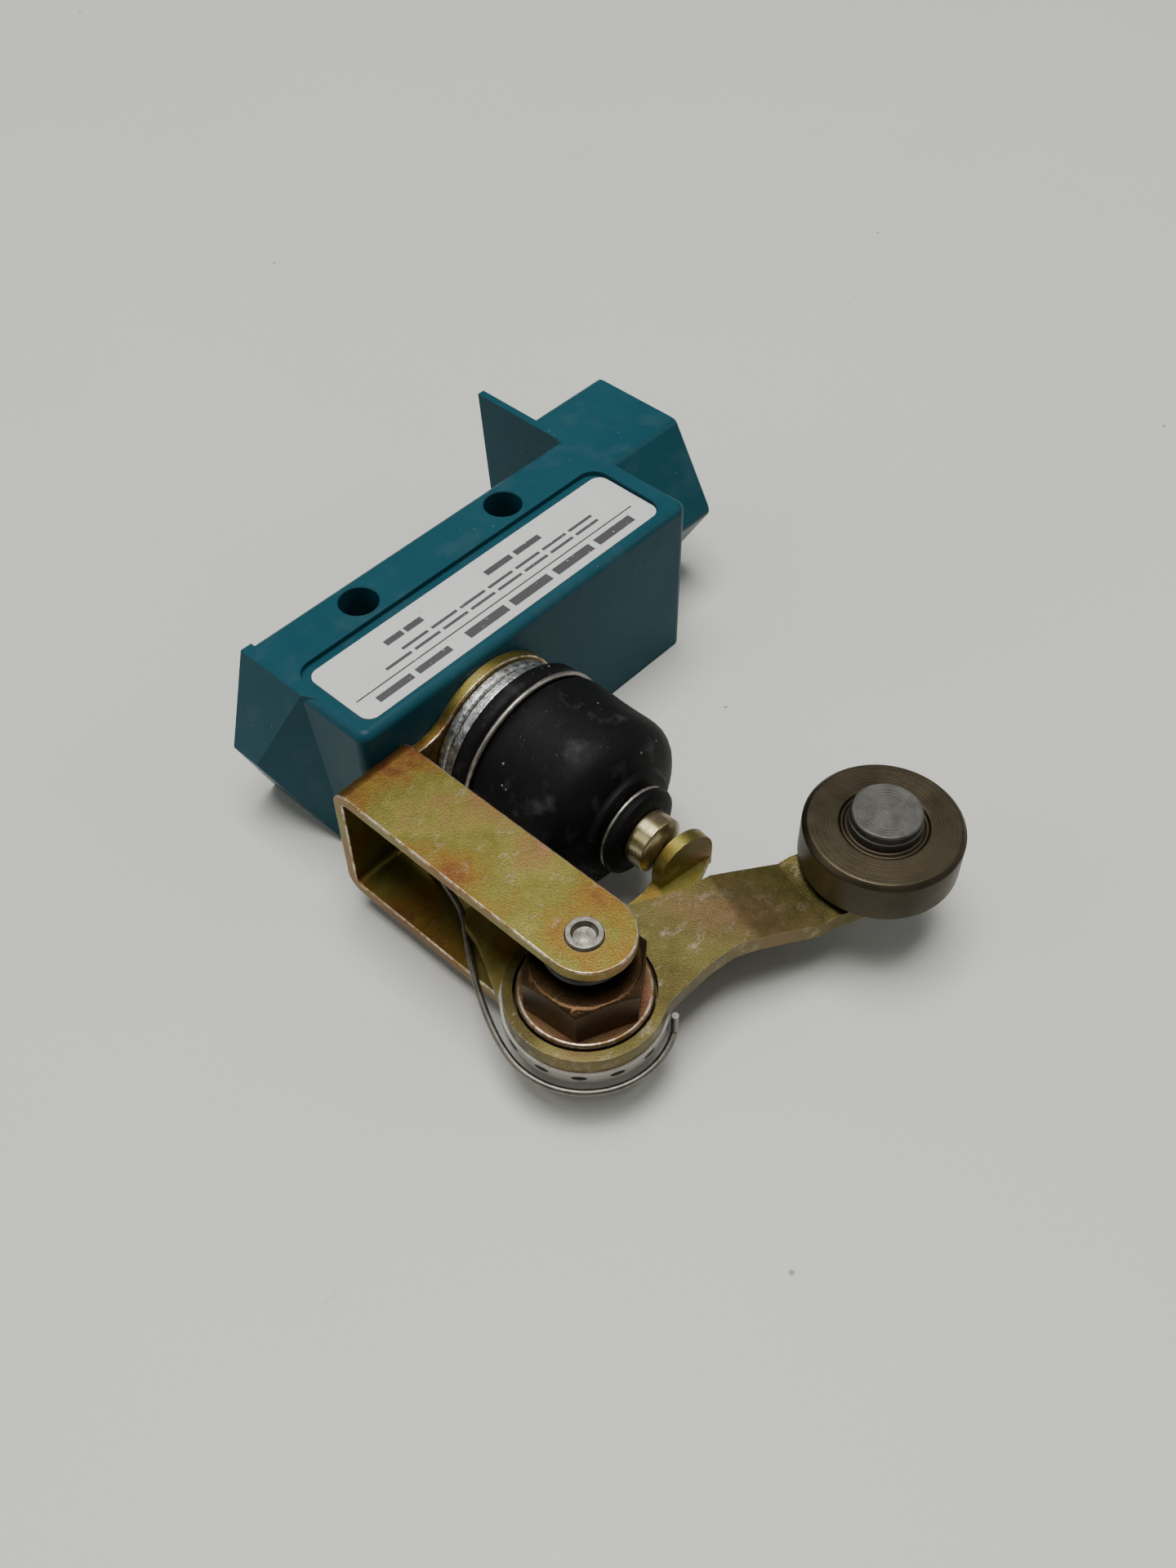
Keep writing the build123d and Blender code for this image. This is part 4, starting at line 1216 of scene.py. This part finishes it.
@dataclass
class Studio:
    """Pale table, soft light and the camera."""

    azimuth: float = 133.3
    elevation: float = 49.57
    roll: float = -0.68
    distance: float = 203.29
    target: Point = (-0.10, 26.74, 0.0)
    view_height: float = 54.25
    lit_spot: Point = (0, 0.025, 0.01)
    lamps: tuple[Lamp, ...] = (
        Lamp("ceiling", (0.0, -0.05, 1.25), 0.75, 21.0, (1.0, 0.995, 0.975)),
        Lamp("window_left", (0.85, -0.60, 0.75), 0.7, 2.2, (1.0, 0.99, 0.97)),
        Lamp("window_right", (-0.75, 0.75, 0.70), 0.6, 2.0, (0.97, 0.99, 1.0)))
    room_tone: Color = (0.90, 0.93, 0.92)
    room_strength: float = 0.17
    table_reach: float = 2.0

    def camera(self) -> None:
        """Aim the camera."""
        turn, tip = math.radians(self.azimuth), math.radians(self.elevation)
        back = Vector((math.sin(turn) * math.cos(tip), -math.cos(turn) * math.cos(tip),
                       math.sin(tip)))
        right = (-back).cross(Vector((0, 0, 1))).normalized()
        up = right.cross(-back)
        lean = math.radians(self.roll)
        right, up = (right * math.cos(lean) + up * math.sin(lean),
                     up * math.cos(lean) - right * math.sin(lean))
        data = bpy.data.cameras.new("camera")
        data.sensor_fit = "VERTICAL"
        data.angle_y = math.radians(self.view_height)
        data.clip_start = 0.005
        eye = bpy.data.objects.new("camera", data)
        axes = Matrix((right, up, back)).transposed().to_4x4()
        axes.translation = (Vector(self.target) + back * self.distance) * MM
        eye.matrix_world = axes
        bpy.context.scene.collection.objects.link(eye)
        bpy.context.scene.camera = eye

    def hang(self, lamp: Lamp) -> None:
        """Hang one lamp, aimed at the object.

        Args:
            lamp: The lamp's sizes.
        """
        data = bpy.data.lights.new(lamp.name, "AREA")
        data.shape = "SQUARE"
        data.size = lamp.width
        data.energy = lamp.power
        data.color = lamp.tint
        light = bpy.data.objects.new(lamp.name, data)
        light.location = lamp.place
        aim = Vector(self.lit_spot) - Vector(lamp.place)
        light.rotation_euler = aim.to_track_quat("-Z", "Y").to_euler()
        bpy.context.scene.collection.objects.link(light)

    def build(self) -> None:
        """Set up table, light and camera."""
        mesh = bmesh.new()
        bmesh.ops.create_grid(mesh, x_segments=2, y_segments=2, size=self.table_reach)
        table = add_piece("table", mesh)
        table.data.materials.append(TableTop().material())
        self.camera()
        for lamp in self.lamps:
            self.hang(lamp)
        world = bpy.data.worlds.new("room")
        world.use_nodes = True
        background = world.node_tree.nodes["Background"]
        background.inputs["Color"].default_value = (*self.room_tone, 1.0)
        background.inputs["Strength"].default_value = self.room_strength
        bpy.context.scene.world = world


def main() -> None:
    """Build every class in order."""
    logging.basicConfig(level=logging.INFO, format="%(message)s")
    Studio().build()
    finishes = Finishes()
    for assembly in (Casting, LeverBracket, PlungerHead, LeverAssembly, RollerSet, SnapSwitch):
        assembly(finishes).build()


if __name__ == "__main__":
    main()
